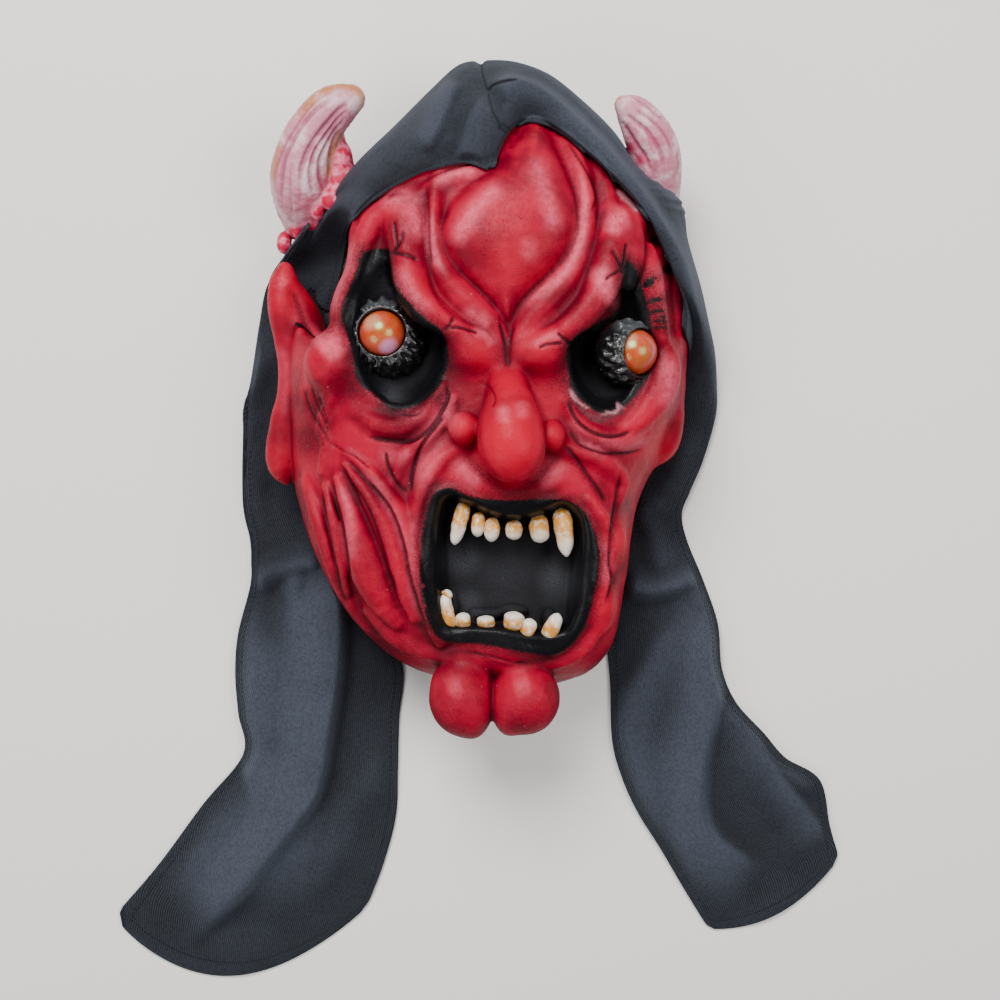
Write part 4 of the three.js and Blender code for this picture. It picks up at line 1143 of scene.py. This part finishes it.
def make_horn(name, form, step):
    """A fluted horn with the flesh round its foot."""
    rows = np.array(form["stations"], float)
    wide = rows[:, 3].max() + 8
    field = Field(rows[:, :3].min(0) - wide, rows[:, :3].max(0) + wide, step)
    field.d = np.full([len(axis) for axis in field.axes], 99.0, np.float32)
    field.tube(form["stations"], steps=26, blend=0.1)
    horn = field.d.copy()
    for at, half in form["flesh"]:
        field.ellipsoid(at, half, FLESH_BLEND)
    points, faces = field.mesh()
    normal = normals_of(points, faces)
    places, k = to_picture(points), scale_at(points[:, 2])
    meat = field.sample(points, horn)
    front = smooth_step(normal[:, 2], -0.35, 0.1)
    groove = strokes(places, k, form["grooves"], 0.25) * front * (meat < 0.3)
    # Round the hidden side the flutes simply go on lengthwise
    side = np.arctan2(normal[:, 0], normal[:, 1])
    groove = np.maximum(groove, (0.5 - 0.5 * np.cos(FLUTES * side)) ** 2 * (1 - front) * (meat < 0.3))
    points = points - normal * (groove - (noise(points, 1.6, 4) - 0.5) * 0.35)[:, None]
    attributes = {
        "groove": groove,
        "meat": meat,
        "ochre": strokes(places, k, form["ochre"], 0.2),
        "rose": patches(places, k, form["rose"]),
    }
    return piece(name, points, faces, "latex", "mask", attributes=attributes)


def in_space(across, down, z):
    x, y = from_picture(across, down, z)
    return np.stack([x, y, z], axis=-1)


def grid_normals(grid):
    normal = np.cross(np.gradient(grid, axis=0), np.gradient(grid, axis=1))
    normal /= np.maximum(np.linalg.norm(normal, axis=-1, keepdims=True), 1e-9)
    return normal * np.sign(normal[..., 2].mean())


def closed_sheet(grid, kept, thickness, floor, values):
    """A cloth of a thickness below a grid of points, made of the kept cells, with its raw edges closed."""
    rows, columns = grid.shape[:2]
    under = grid - grid_normals(grid) * thickness
    under[..., 2] = np.maximum(under[..., 2], floor)
    i, j = np.nonzero(kept)
    a = i * columns + j
    quads = np.column_stack([a, a + columns, a + columns + 1, a + 1])
    size = rows * columns
    top = [tuple(face) for face in quads.tolist()]
    below = [tuple(index + size for index in face[::-1]) for face in top]
    edges = {(face[k], face[(k + 1) % 4]) for face in top for k in range(4)}
    walls = [(b, a, a + size, b + size) for a, b in edges if (b, a) not in edges]
    faces = top + below + walls
    used, flat = np.unique(np.array(faces), return_inverse=True)
    points = np.vstack([grid.reshape(-1, 3), under.reshape(-1, 3)])[used]
    faces = [tuple(face) for face in flat.reshape(-1, 4).tolist()]
    return points, faces, {key: np.tile(value.ravel(), 2)[used] for key, value in values.items()}


def smoothed_rows(z, times):
    """Heights on a grid, evened out with their neighbours."""
    for _ in range(times):
        padded = np.pad(z, 1, mode="edge")
        z = (padded[:-2, 1:-1] + padded[2:, 1:-1] + padded[1:-1, :-2] + padded[1:-1, 2:]) / 8 + z / 2
    return z


LOWEST_CLOTH = 1.6  # the upper side of the cloth on the floor
CLOTH_FLOOR = 0.15  # its under side
PANEL_TOP = 1.15
PANEL_CLOTH = 0.95
PANEL_PART = (0.16, 0.8)  # of the hood's rows, those that go round the head
FOOT = 8  # columns of cloth from the outline down to the floor
HOOD_ROW = 2.2  # about how far apart the hood's rows lie
CORNER = 4  # radius of the hems' corners
# The cloth is cut raw round the right horn: where that begins and ends as seen, and how deep it is frayed
RAW_CLOTH = [(166, 176), (212, 222)]
RAW_DEPTH = 6
RIDGE_REACH = 75  # how far round a ridge's route its rise is worked out, in the picture
HOLE_GAP = 0.9  # between the hood and the horns that stand through it
FLOOR_ZONE = 3.2  # the cloth below this lies on the floor and is never cut out
HEM_ZONE = 8  # the outline is hemmed where the cloth lies below this
HEM_FAR = 99


def hood_ridges(across, down, z):
    """How high the cloth's folds stand."""
    places = np.column_stack([across.ravel(), down.ravel()])
    k = scale_at(z).ravel()
    height = np.zeros(len(places))
    for left, right, tall, route in RIDGES:
        index, distance, along, side = nearest(places, catmull(route, 8 * len(route)), RIDGE_REACH)
        gap = distance * k[index] / np.where(side > 0, left, right)
        rise = tall * np.exp(-(gap**2)) * tapered_ends(along, 0.18)
        height[index] = np.maximum(height[index], rise) + 0.3 * np.minimum(height[index], rise)
    flat = in_space(across, down, z).reshape(-1, 3)
    height += (noise(flat, 18, 6) - 0.5) * 3.0 + (noise(flat, 7, 7) - 0.5) * 0.8
    return height.reshape(across.shape)


def hood_grid(head, rows, columns):
    """The hood laid over the head with its foot turned down, its folds' height, and the depth of its seams
    and shadow line.
    """
    table = catmull(HOOD, rows)
    inner, outer, bow = table[:, None, :3], table[:, None, 3:6], table[:, 6:]
    raw = smooth_step(outer[..., 1], *RAW_CLOTH[0]) * (1 - smooth_step(outer[..., 1], *RAW_CLOTH[1]))
    raw = raw * (outer[..., 0] > PICTURE / 2)
    outer[..., 0] += raw * RAW_DEPTH * (noise(outer, 1.6, 9) - 0.5)
    over_head = smooth_step(table[:, 2], 24, 34)[:, None]
    on_face = seen(inner[:, 0, 0], inner[:, 0, 1], CLOTH + 1)[2][:, None]
    inner_z = inner[..., 2] + (np.minimum(on_face, inner[..., 2]) - inner[..., 2]) * over_head
    # The hems' corners are rounded by drawing in the first and last rows
    wide = np.hypot(*(outer - inner)[..., :2].T).T * scale_at(2)
    start = np.minimum(np.arange(rows), np.arange(rows)[::-1])[:, None] * HOOD_ROW
    drawn = (CORNER - np.sqrt(CORNER**2 - np.maximum(CORNER - start, 0) ** 2)) / wide
    share = drawn + np.linspace(0, 1, columns)[None] * (1 - 2 * drawn)
    across = inner[..., 0] + (outer[..., 0] - inner[..., 0]) * share
    down = inner[..., 1] + (outer[..., 1] - inner[..., 1]) * share
    down += bow * np.sin(math.pi * share**1.12) ** 0.75
    z = outer[..., 2] + (inner_z - outer[..., 2]) * np.sqrt(1 - share**3)
    for _ in range(14):
        depth = CLOTH + 0.7 - head.sample(in_space(across, down, z).reshape(-1, 3)).reshape(z.shape)
        z = z + np.clip(depth, 0, 3) * over_head
    for _ in range(6):
        z = np.maximum(z, smoothed_rows(z, 2) * over_head + z * (1 - over_head))
    from_edge = np.arange(columns)[None]
    height = hood_ridges(across, down, z)
    places = np.column_stack([across.ravel(), down.ravel()])
    seam_and_shadow = strokes(places, scale_at(z).ravel(), SEAMS_AND_SHADOW_LINE).reshape(z.shape)
    height *= 0.15 + 0.85 * smooth_step(from_edge, 0, 9)
    height *= 0.15 + 0.85 * smooth_step(columns - 1 - from_edge, 0, 9)
    height -= seam_and_shadow
    z = np.maximum(z + height, LOWEST_CLOTH)
    # From the outline the cloth turns down to the floor, and a little inward
    turn = np.linspace(0, 1, FOOT + 1)[None, 1:]
    last = z[:, -1:]
    tuck = 1 - 0.035 * turn * np.clip(last / 50, 0, 1)
    foot = [PICTURE / 2 + (side[:, -1:] - PICTURE / 2) * tuck for side in (across, down)]
    foot = in_space(*foot, last + (LOWEST_CLOTH - last) * turn)
    # Where the head would stand out through the cloth's foot, the cloth goes round it
    for _ in range(8):
        depth = CLOTH + 0.9 - head.sample(foot.reshape(-1, 3)).reshape(foot.shape[:2])
        outward = foot[..., :2] - CENTRE
        outward /= np.linalg.norm(outward, axis=-1, keepdims=True)
        foot[..., :2] += outward * np.clip(depth, 0, 1.5)[..., None]
    grid = np.concatenate([in_space(across, down, z), foot], axis=1)
    return grid, *(np.pad(values, ((0, 0), (0, FOOT)), mode="edge") for values in (height, seam_and_shadow))


def make_hood(head):
    """The hood's cloth, cut out round the horns, and the line of its foot on the floor."""
    rows, columns = detail((560, 76), (220, 26))
    grid, height, seam_and_shadow = hood_grid(head, rows, columns)
    width = grid.shape[1]
    from_edge = np.arange(width)[None] * np.ones((rows, 1))
    ends = np.minimum(np.arange(rows), np.arange(rows)[::-1])[:, None] * np.ones((1, width))
    flat = grid.reshape(-1, 3)
    horns = np.minimum(*(from_tube(*flat.T, catmull(form["stations"], 24)) for form in HORNS.values()))
    clear = np.minimum(horns, head.sample(flat) + 0.4).reshape(rows, width) > HOLE_GAP
    clear = clear | (grid[..., 2] < FLOOR_ZONE)
    kept = clear[:-1, :-1] & clear[1:, :-1] & clear[:-1, 1:] & clear[1:, 1:]
    pace = np.linalg.norm(np.diff(grid, axis=1), axis=2).mean(1, keepdims=True)
    # Round the head the outline is a fold, not a hem
    folded = grid[:, columns - 1:columns, 2] > HEM_ZONE
    from_outline = np.abs(width - 1 - FOOT - from_edge) + HEM_FAR * folded
    hem = np.minimum(np.minimum(from_edge, from_outline) * pace, ends * HOOD_ROW)
    run = np.cumsum(np.r_[0, np.linalg.norm(np.diff(grid[:, columns // 2], axis=0), axis=1)])[:, None]
    run = run * np.ones((1, width))
    values = {"hem": hem, "run": run, "crest_highlight": height, "seam_and_shadow": seam_and_shadow, "wale": from_edge * pace}
    points, faces, attributes = closed_sheet(grid, kept, CLOTH, CLOTH_FLOOR, values)
    return piece("hood_cloth", points, faces, "cloth", "hood", attributes=attributes), grid[:, -1, :2]


def make_panel(outline):
    """The flat cloth below the head, from the neck's edge out to the hood's foot."""
    rows, columns = detail((200, 30), (70, 12))
    turn = np.linspace(*PANEL_PART, rows)
    outer = outline[(turn * (len(outline) - 1)).astype(int)]
    edge = catmull(PANEL_EDGE, rows)
    share = np.linspace(0, 1, columns)[None, :, None]
    flat = edge[:, None] + (outer[:, None] * 0.992 - edge[:, None]) * share
    grid = np.concatenate([flat, np.full((rows, columns, 1), PANEL_TOP)], axis=-1)
    kept = np.ones((rows - 1, columns - 1), bool)
    plain = np.ones((rows, columns))
    values = {"hem": 30 * plain, "run": plain, "crest_highlight": 0 * plain, "seam_and_shadow": 0 * plain, "wale": flat[..., 0]}
    points, faces, attributes = closed_sheet(grid, kept, PANEL_CLOTH, CLOTH_FLOOR, values)
    return piece("hood_back", points, faces, "cloth", "hood", attributes=attributes)


class Shader:
    """A material's nodes, written as short calls."""

    def __init__(self, name):
        self.material = bpy.data.materials.new(name)
        self.material.use_nodes = True
        self.tree = self.material.node_tree
        self.surface = self.tree.nodes["Principled BSDF"]

    def give(self, socket, value):
        if isinstance(value, bpy.types.NodeSocket):
            self.tree.links.new(value, socket)
        else:
            socket.default_value = value

    def node(self, kind, inputs, output=0, **settings):
        """A node's output, once its settings and inputs are given."""
        made = self.tree.nodes.new(kind)
        for key, value in settings.items():
            setattr(made, key, value)
        for key, value in inputs.items():
            self.give(made.inputs[key], value)
        return made.outputs[output]

    def value(self, name):
        """What an attribute of the mesh says."""
        return self.node("ShaderNodeAttribute", {}, "Fac", attribute_name=name)

    def noise(self, size, detail=4.0, roughness=0.55, distortion=0.0):
        """Noise with grains of a size in mm, in the object's own space."""
        inputs = {"Scale": 1000 / size, "Detail": detail, "Roughness": roughness, "Distortion": distortion}
        inputs["Vector"] = self.node("ShaderNodeTexCoord", {}, "Object")
        return self.node("ShaderNodeTexNoise", inputs, "Fac")

    def math(self, operation, *values):
        return self.node("ShaderNodeMath", dict(enumerate(values)), operation=operation)

    def times(self, first, second):
        return self.math("MULTIPLY", first, second)

    def ramp(self, value, low, high, to_low=0.0, to_high=1.0):
        inputs = {"Value": value, "From Min": low, "From Max": high, "To Min": to_low, "To Max": to_high}
        return self.node("ShaderNodeMapRange", inputs, interpolation_type="SMOOTHSTEP")

    def mix(self, share, below, above):
        return self.node("ShaderNodeMix", {0: share, 6: below, 7: above}, 2, data_type="RGBA")

    def mix_number(self, share, below, above):
        return self.node("ShaderNodeMix", {0: share, 2: below, 3: above}, data_type="FLOAT")

    def bump(self, height, depth):
        """Lays a relief of a depth in mm over those before it."""
        normal = self.surface.inputs["Normal"]
        inputs = {"Height": height, "Distance": depth / 1000, "Strength": 1.0}
        if normal.links:
            inputs["Normal"] = normal.links[0].from_socket
        self.give(normal, self.node("ShaderNodeBump", inputs))

    def surface_is(self, colour, rough, **more):
        """Sets the surface's colour, roughness and other inputs, by their names with _ for each space."""
        for name, value in {"Base_Color": colour, "Roughness": rough, **more}.items():
            self.give(self.surface.inputs[name.replace("_", " ")], value)


RED = rgb(160, 0, 40)
DEEP_RED = rgb(102, 0, 24)
PINK = rgb(216, 88, 108)
PURE_RED = rgb(182, 0, 38)
MAROON = rgb(60, 0, 16)
BLACK = rgb(13, 13, 15)
RAW_LATEX = rgb(100, 40, 48)
CREASE_SHADE_BROWN = rgb(40, 0, 10)


def latex_material():
    s = Shader("painted latex")
    cloud, speckle, grain = s.noise(24, 3), s.noise(0.9, 2, 0.7), s.noise(3.2, 5, 0.65)
    # Reds: clouds of deep and plain red; on the crests purer red and pink, partly sprayed, partly painted
    # highlight
    colour = s.mix(s.ramp(cloud, 0.35, 0.65), DEEP_RED, RED)
    raised = s.ramp(s.math("ADD", s.value("fine"), s.times(s.value("wide"), 0.1)), 0.05, 1.2)
    colour = s.mix(s.times(raised, 0.55), colour, PURE_RED)
    colour = s.mix(s.times(s.value("bright"), 0.9), colour, PURE_RED)
    # Pale lines: drybrush and painted highlight
    drybrush_and_highlight = s.times(s.value("drybrush_and_highlight"), s.ramp(grain, 0.25, 0.7, 0.45, 1.0))
    # Pink on the crests is painted highlight, left off where the red is bright
    crest_highlight = s.times(raised, s.ramp(grain, 0.4, 0.68, 0.0, 0.2))
    crest_highlight = s.times(crest_highlight, s.ramp(s.value("bright"), 0, 0.7, 1, 0))
    colour = s.mix(s.math("MAXIMUM", drybrush_and_highlight, crest_highlight), colour, PINK)
    # Maroon in the hollows: painted shade, partly airbrushed dark
    hollow = s.ramp(s.value("fine"), -0.02, -0.6, 0, 0.7)
    colour = s.mix(hollow, colour, MAROON)
    # Dark spots and lines: airbrush and painted shade
    shade = s.times(s.value("airbrush_and_shade"), s.ramp(speckle, 0.3, 0.62, 0.6, 1.1))
    colour = s.mix(s.ramp(shade, 0.02, 0.95, 0, 0.82), colour, MAROON)
    # Dark brown along the creases: painted shade
    colour = s.mix(s.ramp(s.value("line"), 0.1, 0.9, 0, 0.85), colour, CREASE_SHADE_BROWN)
    # The black is sprayed and brushed: dense inside, speckled past its edge
    black = s.math("ADD", s.value("black"), s.times(s.math("SUBTRACT", speckle, 0.5), 2.4))
    spray = s.ramp(s.value("black"), -7.5, 0.5, 0, 0.62)
    colour = s.mix(s.times(spray, s.ramp(speckle, 0.35, 0.6, 0.5, 1.2)), colour, BLACK)
    solid = s.ramp(black, -0.8, 0.8)
    colour = s.mix(solid, colour, BLACK)
    # Bare latex where the paint is torn away, with a pale raw edge
    torn = s.math("ADD", s.value("torn"), s.times(s.math("SUBTRACT", grain, 0.5), 1.5))
    bare = s.mix(s.ramp(grain, 0.4, 0.6), RAW_LATEX, rgb(84, 22, 34))
    colour = s.mix(s.ramp(torn, -0.3, 0.4), colour, bare)
    colour = s.mix(s.value("rim"), colour, rgb(196, 140, 144))
    # Painted grey sheen on the black of the mouth and the sockets
    colour = s.mix(s.times(s.value("grey_sheen"), s.ramp(speckle, 0.2, 0.8, 0.3, 0.9)), colour, rgb(74, 74, 80))
    # Pits, dust and the unpainted inside
    pits = s.ramp(s.noise(1.6, 1, 0.4), 0.26, 0.2)
    colour = s.mix(s.times(pits, 0.5), colour, MAROON)
    dust = s.ramp(s.noise(1.9, 1, 0.4, 0.4), 0.78, 0.82)
    colour = s.mix(s.times(dust, s.mix_number(solid, 0.25, 0.1)), colour, rgb(216, 150, 150))
    colour = s.mix(s.value("inner"), colour, rgb(196, 160, 120))
    rough = s.mix_number(hollow, s.ramp(s.noise(1.8, 4), 0.3, 0.7, 0.36, 0.52), 0.7)
    rough = s.mix_number(solid, rough, s.ramp(s.value("satin"), 0, 1, 0.3, 0.6))
    rough = s.mix_number(s.math("MAXIMUM", s.value("satin"), shade), rough, 0.78)
    s.surface_is(colour, rough, Specular_IOR_Level=0.12)
    s.bump(s.noise(0.8, 3, 0.6), 0.10)
    s.bump(s.noise(3.5, 4, 0.6), 0.30)
    s.bump(pits, -0.12)
    return s.material


def lid_material():
    s = Shader("black gloss paint")
    worn = s.ramp(s.noise(3.0, 4, 0.6), 0.58, 0.72, 0, 0.6)
    # Grey of worn paint, and a painted grey sheen on the upper side
    sheen = s.times(s.ramp(s.value("sheen"), 0.72, 0.98), s.ramp(worn, 0, 0.3, 0.4, 0.8))
    colour = s.mix(s.math("MAXIMUM", worn, sheen), BLACK, rgb(96, 100, 102))
    s.surface_is(colour, s.ramp(s.noise(2.5, 3), 0.3, 0.7, 0.2, 0.45), Specular_IOR_Level=0.6)
    s.bump(s.noise(2.6, 2, 0.4), 0.9)
    return s.material


def marble_material():
    s = Shader("orange marble")
    colour = s.mix(s.ramp(s.noise(13, 3, 0.5, 1.2), 0.35, 0.65), rgb(208, 70, 14), rgb(222, 92, 60))
    colour = s.mix(s.ramp(s.noise(6, 4, 0.6, 0.6), 0.5, 0.66, 0, 0.7), colour, rgb(190, 104, 30))
    # Painted reflections: lilac on one side, pale on another
    colour = s.mix(s.ramp(s.value("lilac_reflection"), 0.84, 1.0, 0, 0.95), colour, rgb(250, 170, 214))
    colour = s.mix(s.ramp(s.value("pale_reflection"), 0.84, 1.0, 0, 0.5), colour, rgb(244, 196, 156))
    s.surface_is(
        colour, 0.26, Specular_IOR_Level=0.16, Transmission_Weight=0.35, IOR=1.5, Subsurface_Weight=0.5,
        Subsurface_Radius=(0.006, 0.003, 0.002), Subsurface_Scale=1.0, Thin_Film_Thickness=420,
        Thin_Film_IOR=1.6,
    )
    return s.material


def tooth_material():
    s = Shader("painted teeth")
    root = s.ramp(s.value("along"), 0.92, 0.45, 0, 1.0)
    stain = s.ramp(s.noise(3.5, 3, 0.6), 0.34, 0.56, 0.35, 1.0)
    colour = s.mix(s.times(root, stain), rgb(222, 214, 200), rgb(198, 132, 40))
    colour = s.mix(s.ramp(s.noise(0.9, 2, 0.6), 0.68, 0.76, 0, 0.6), colour, rgb(120, 84, 60))
    s.surface_is(colour, s.ramp(s.noise(2, 3), 0.3, 0.7, 0.32, 0.5))
    s.bump(s.noise(1.4, 4, 0.6), 0.2)
    return s.material


def horn_material():
    s = Shader("painted horn")
    groove = s.ramp(s.value("groove"), 0.1, 0.9)
    blotch = s.noise(9, 4, 0.6)
    speckle = s.noise(0.7, 3, 0.7)
    colour = s.mix(s.ramp(blotch, 0.34, 0.58, 0.2, 0.9), rgb(216, 192, 196), rgb(188, 108, 128))
    # Darker pink in the grooves, varied by the blotches: painted shade
    colour = s.mix(s.times(groove, s.ramp(blotch, 0.3, 0.6, 0.55, 1)), colour, rgb(158, 84, 108))
    colour = s.mix(s.ramp(speckle, 0.6, 0.7, 0, 0.55), colour, rgb(132, 76, 92))
    rose = s.times(s.value("rose"), s.ramp(blotch, 0.25, 0.5, 0.6, 1))
    colour = s.mix(rose, colour, rgb(176, 24, 74))
    ochre = s.times(s.value("ochre"), s.ramp(blotch, 0.25, 0.5, 0.5, 1))
    colour = s.mix(ochre, colour, rgb(172, 104, 40))
    flesh = s.mix(s.ramp(s.noise(5, 3), 0.42, 0.62), rgb(176, 0, 54), rgb(222, 108, 134))
    colour = s.mix(s.ramp(s.value("meat"), 0.25, 1.2), colour, flesh)
    s.surface_is(colour, s.ramp(s.noise(2, 3), 0.3, 0.7, 0.4, 0.6), Specular_IOR_Level=0.3)
    s.bump(s.noise(1.3, 4, 0.65), 0.25)
    return s.material


def cloth_material():
    s = Shader("black jersey")
    mottle = s.noise(1.5, 4, 0.7)
    colour = s.mix(s.ramp(s.noise(40, 3, 0.5), 0.3, 0.7), rgb(17, 18, 21), rgb(27, 29, 35))
    # Lighter toward the folds' crests: painted highlight
    colour = s.mix(s.ramp(s.value("crest_highlight"), 1, 13, 0, 0.9), colour, rgb(60, 65, 76))
    colour = s.mix(s.ramp(mottle, 0.35, 0.65, 0.4, 0), colour, rgb(16, 16, 19))
    # Fine ribs run lengthwise
    wander = s.times(s.noise(14, 2, 0.5), 4)
    rib = s.math("SINE", s.math("ADD", s.times(s.value("wale"), 5.2), wander))
    knit = s.times(s.ramp(rib, -0.6, 0.9), s.ramp(mottle, 0.3, 0.6, 0.3, 1))
    colour = s.mix(s.times(knit, 0.3), colour, rgb(76, 81, 93))
    # The hem's stitches lie a few millimetres in from the edge
    near = s.ramp(s.math("ABSOLUTE", s.math("SUBTRACT", s.value("hem"), 4.5)), 0.9, 0.3)
    stitch = s.times(near, s.ramp(s.math("SINE", s.times(s.value("run"), 2.6)), -0.1, 0.3))
    # Dark stitches and seams, and the painted shadow line along the crown's tuck
    line = s.math("MAXIMUM", s.times(stitch, 0.6), s.ramp(s.value("seam_and_shadow"), 0.1, 0.9, 0, 0.9))
    s.surface_is(
        s.mix(line, colour, rgb(6, 6, 8)), 0.82, Specular_IOR_Level=0.2, Sheen_Weight=0.3,
        Sheen_Roughness=0.45, Sheen_Tint=rgb(150, 160, 180),
    )
    s.bump(knit, 0.15)
    s.bump(mottle, 0.25)
    s.bump(stitch, -0.4)
    s.bump(s.noise(9, 3), 0.6)
    return s.material


# The studio's soft lights: place in metres and power in watts
LIGHTS = {"key": ((-0.3, 0.85, 1.2), 33), "fill": ((0.8, 0.1, 1.1), 10), "low": ((-0.8, -0.6, 0.9), 7)}
LIGHT_SIZE = 0.7
SKY = (0.9, 0.93, 1.0, 1)
SKY_STRENGTH = 0.24
FLOOR_REACH = 3  # metres from the middle


def placed(name, data, at):
    """An object of the stage at a place."""
    made = bpy.data.objects.new(name, data)
    made.location = at
    bpy.context.scene.collection.objects.link(made)
    return made


def make_stage():
    """The floor, the camera and the studio's light."""
    mesh = bpy.data.meshes.new("floor")
    corners = [(x * FLOOR_REACH, y * FLOOR_REACH, 0) for x, y in ((-1, -1), (1, -1), (1, 1), (-1, 1))]
    mesh.from_pydata(corners, [], [(0, 1, 2, 3)])
    placed("floor", mesh, (0, 0, 0))
    s = Shader("pale floor")
    s.surface_is(s.mix(s.ramp(s.noise(0.8, 2), 0.3, 0.7), rgb(224, 221, 216), rgb(232, 229, 225)), 0.9)
    mesh.materials.append(s.material)
    camera = bpy.data.cameras.new("camera")
    camera.sensor_fit = "HORIZONTAL"
    camera.angle = 2 * math.atan(VIEW_WIDTH / 2 / CAMERA_HEIGHT)
    bpy.context.scene.camera = placed("camera", camera, SHIFT + (0, 0, CAMERA_HEIGHT / 1000))
    for name, (at, power) in LIGHTS.items():
        light = bpy.data.lights.new(name, "AREA")
        light.energy, light.size = power, LIGHT_SIZE
        made = placed(name, light, at)
        made.rotation_euler = (-Vector(at)).to_track_quat("-Z", "Y").to_euler()
    world = bpy.data.worlds.new("studio")
    world.use_nodes = True
    background = world.node_tree.nodes["Background"]
    background.inputs["Color"].default_value = SKY
    background.inputs["Strength"].default_value = SKY_STRENGTH
    bpy.context.scene.world = world


make_stage()
mask, head = make_mask()
mask.data.materials.append(latex_material())
black_gloss = lid_material()
orange = marble_material()
for side in EYES:
    make_lid(side).data.materials.append(black_gloss)
    make_eye(side).data.materials.append(orange)
make_teeth().data.materials.append(tooth_material())
horn_paint = horn_material()
HORN_STEP = detail(0.6, 1.4)
for name, form in HORNS.items():
    make_horn(name, form, HORN_STEP).data.materials.append(horn_paint)
hood, foot = make_hood(head)
back = make_panel(foot)
jersey = cloth_material()
hood.data.materials.append(jersey)
back.data.materials.append(jersey)

bpy.context.view_layer.update()
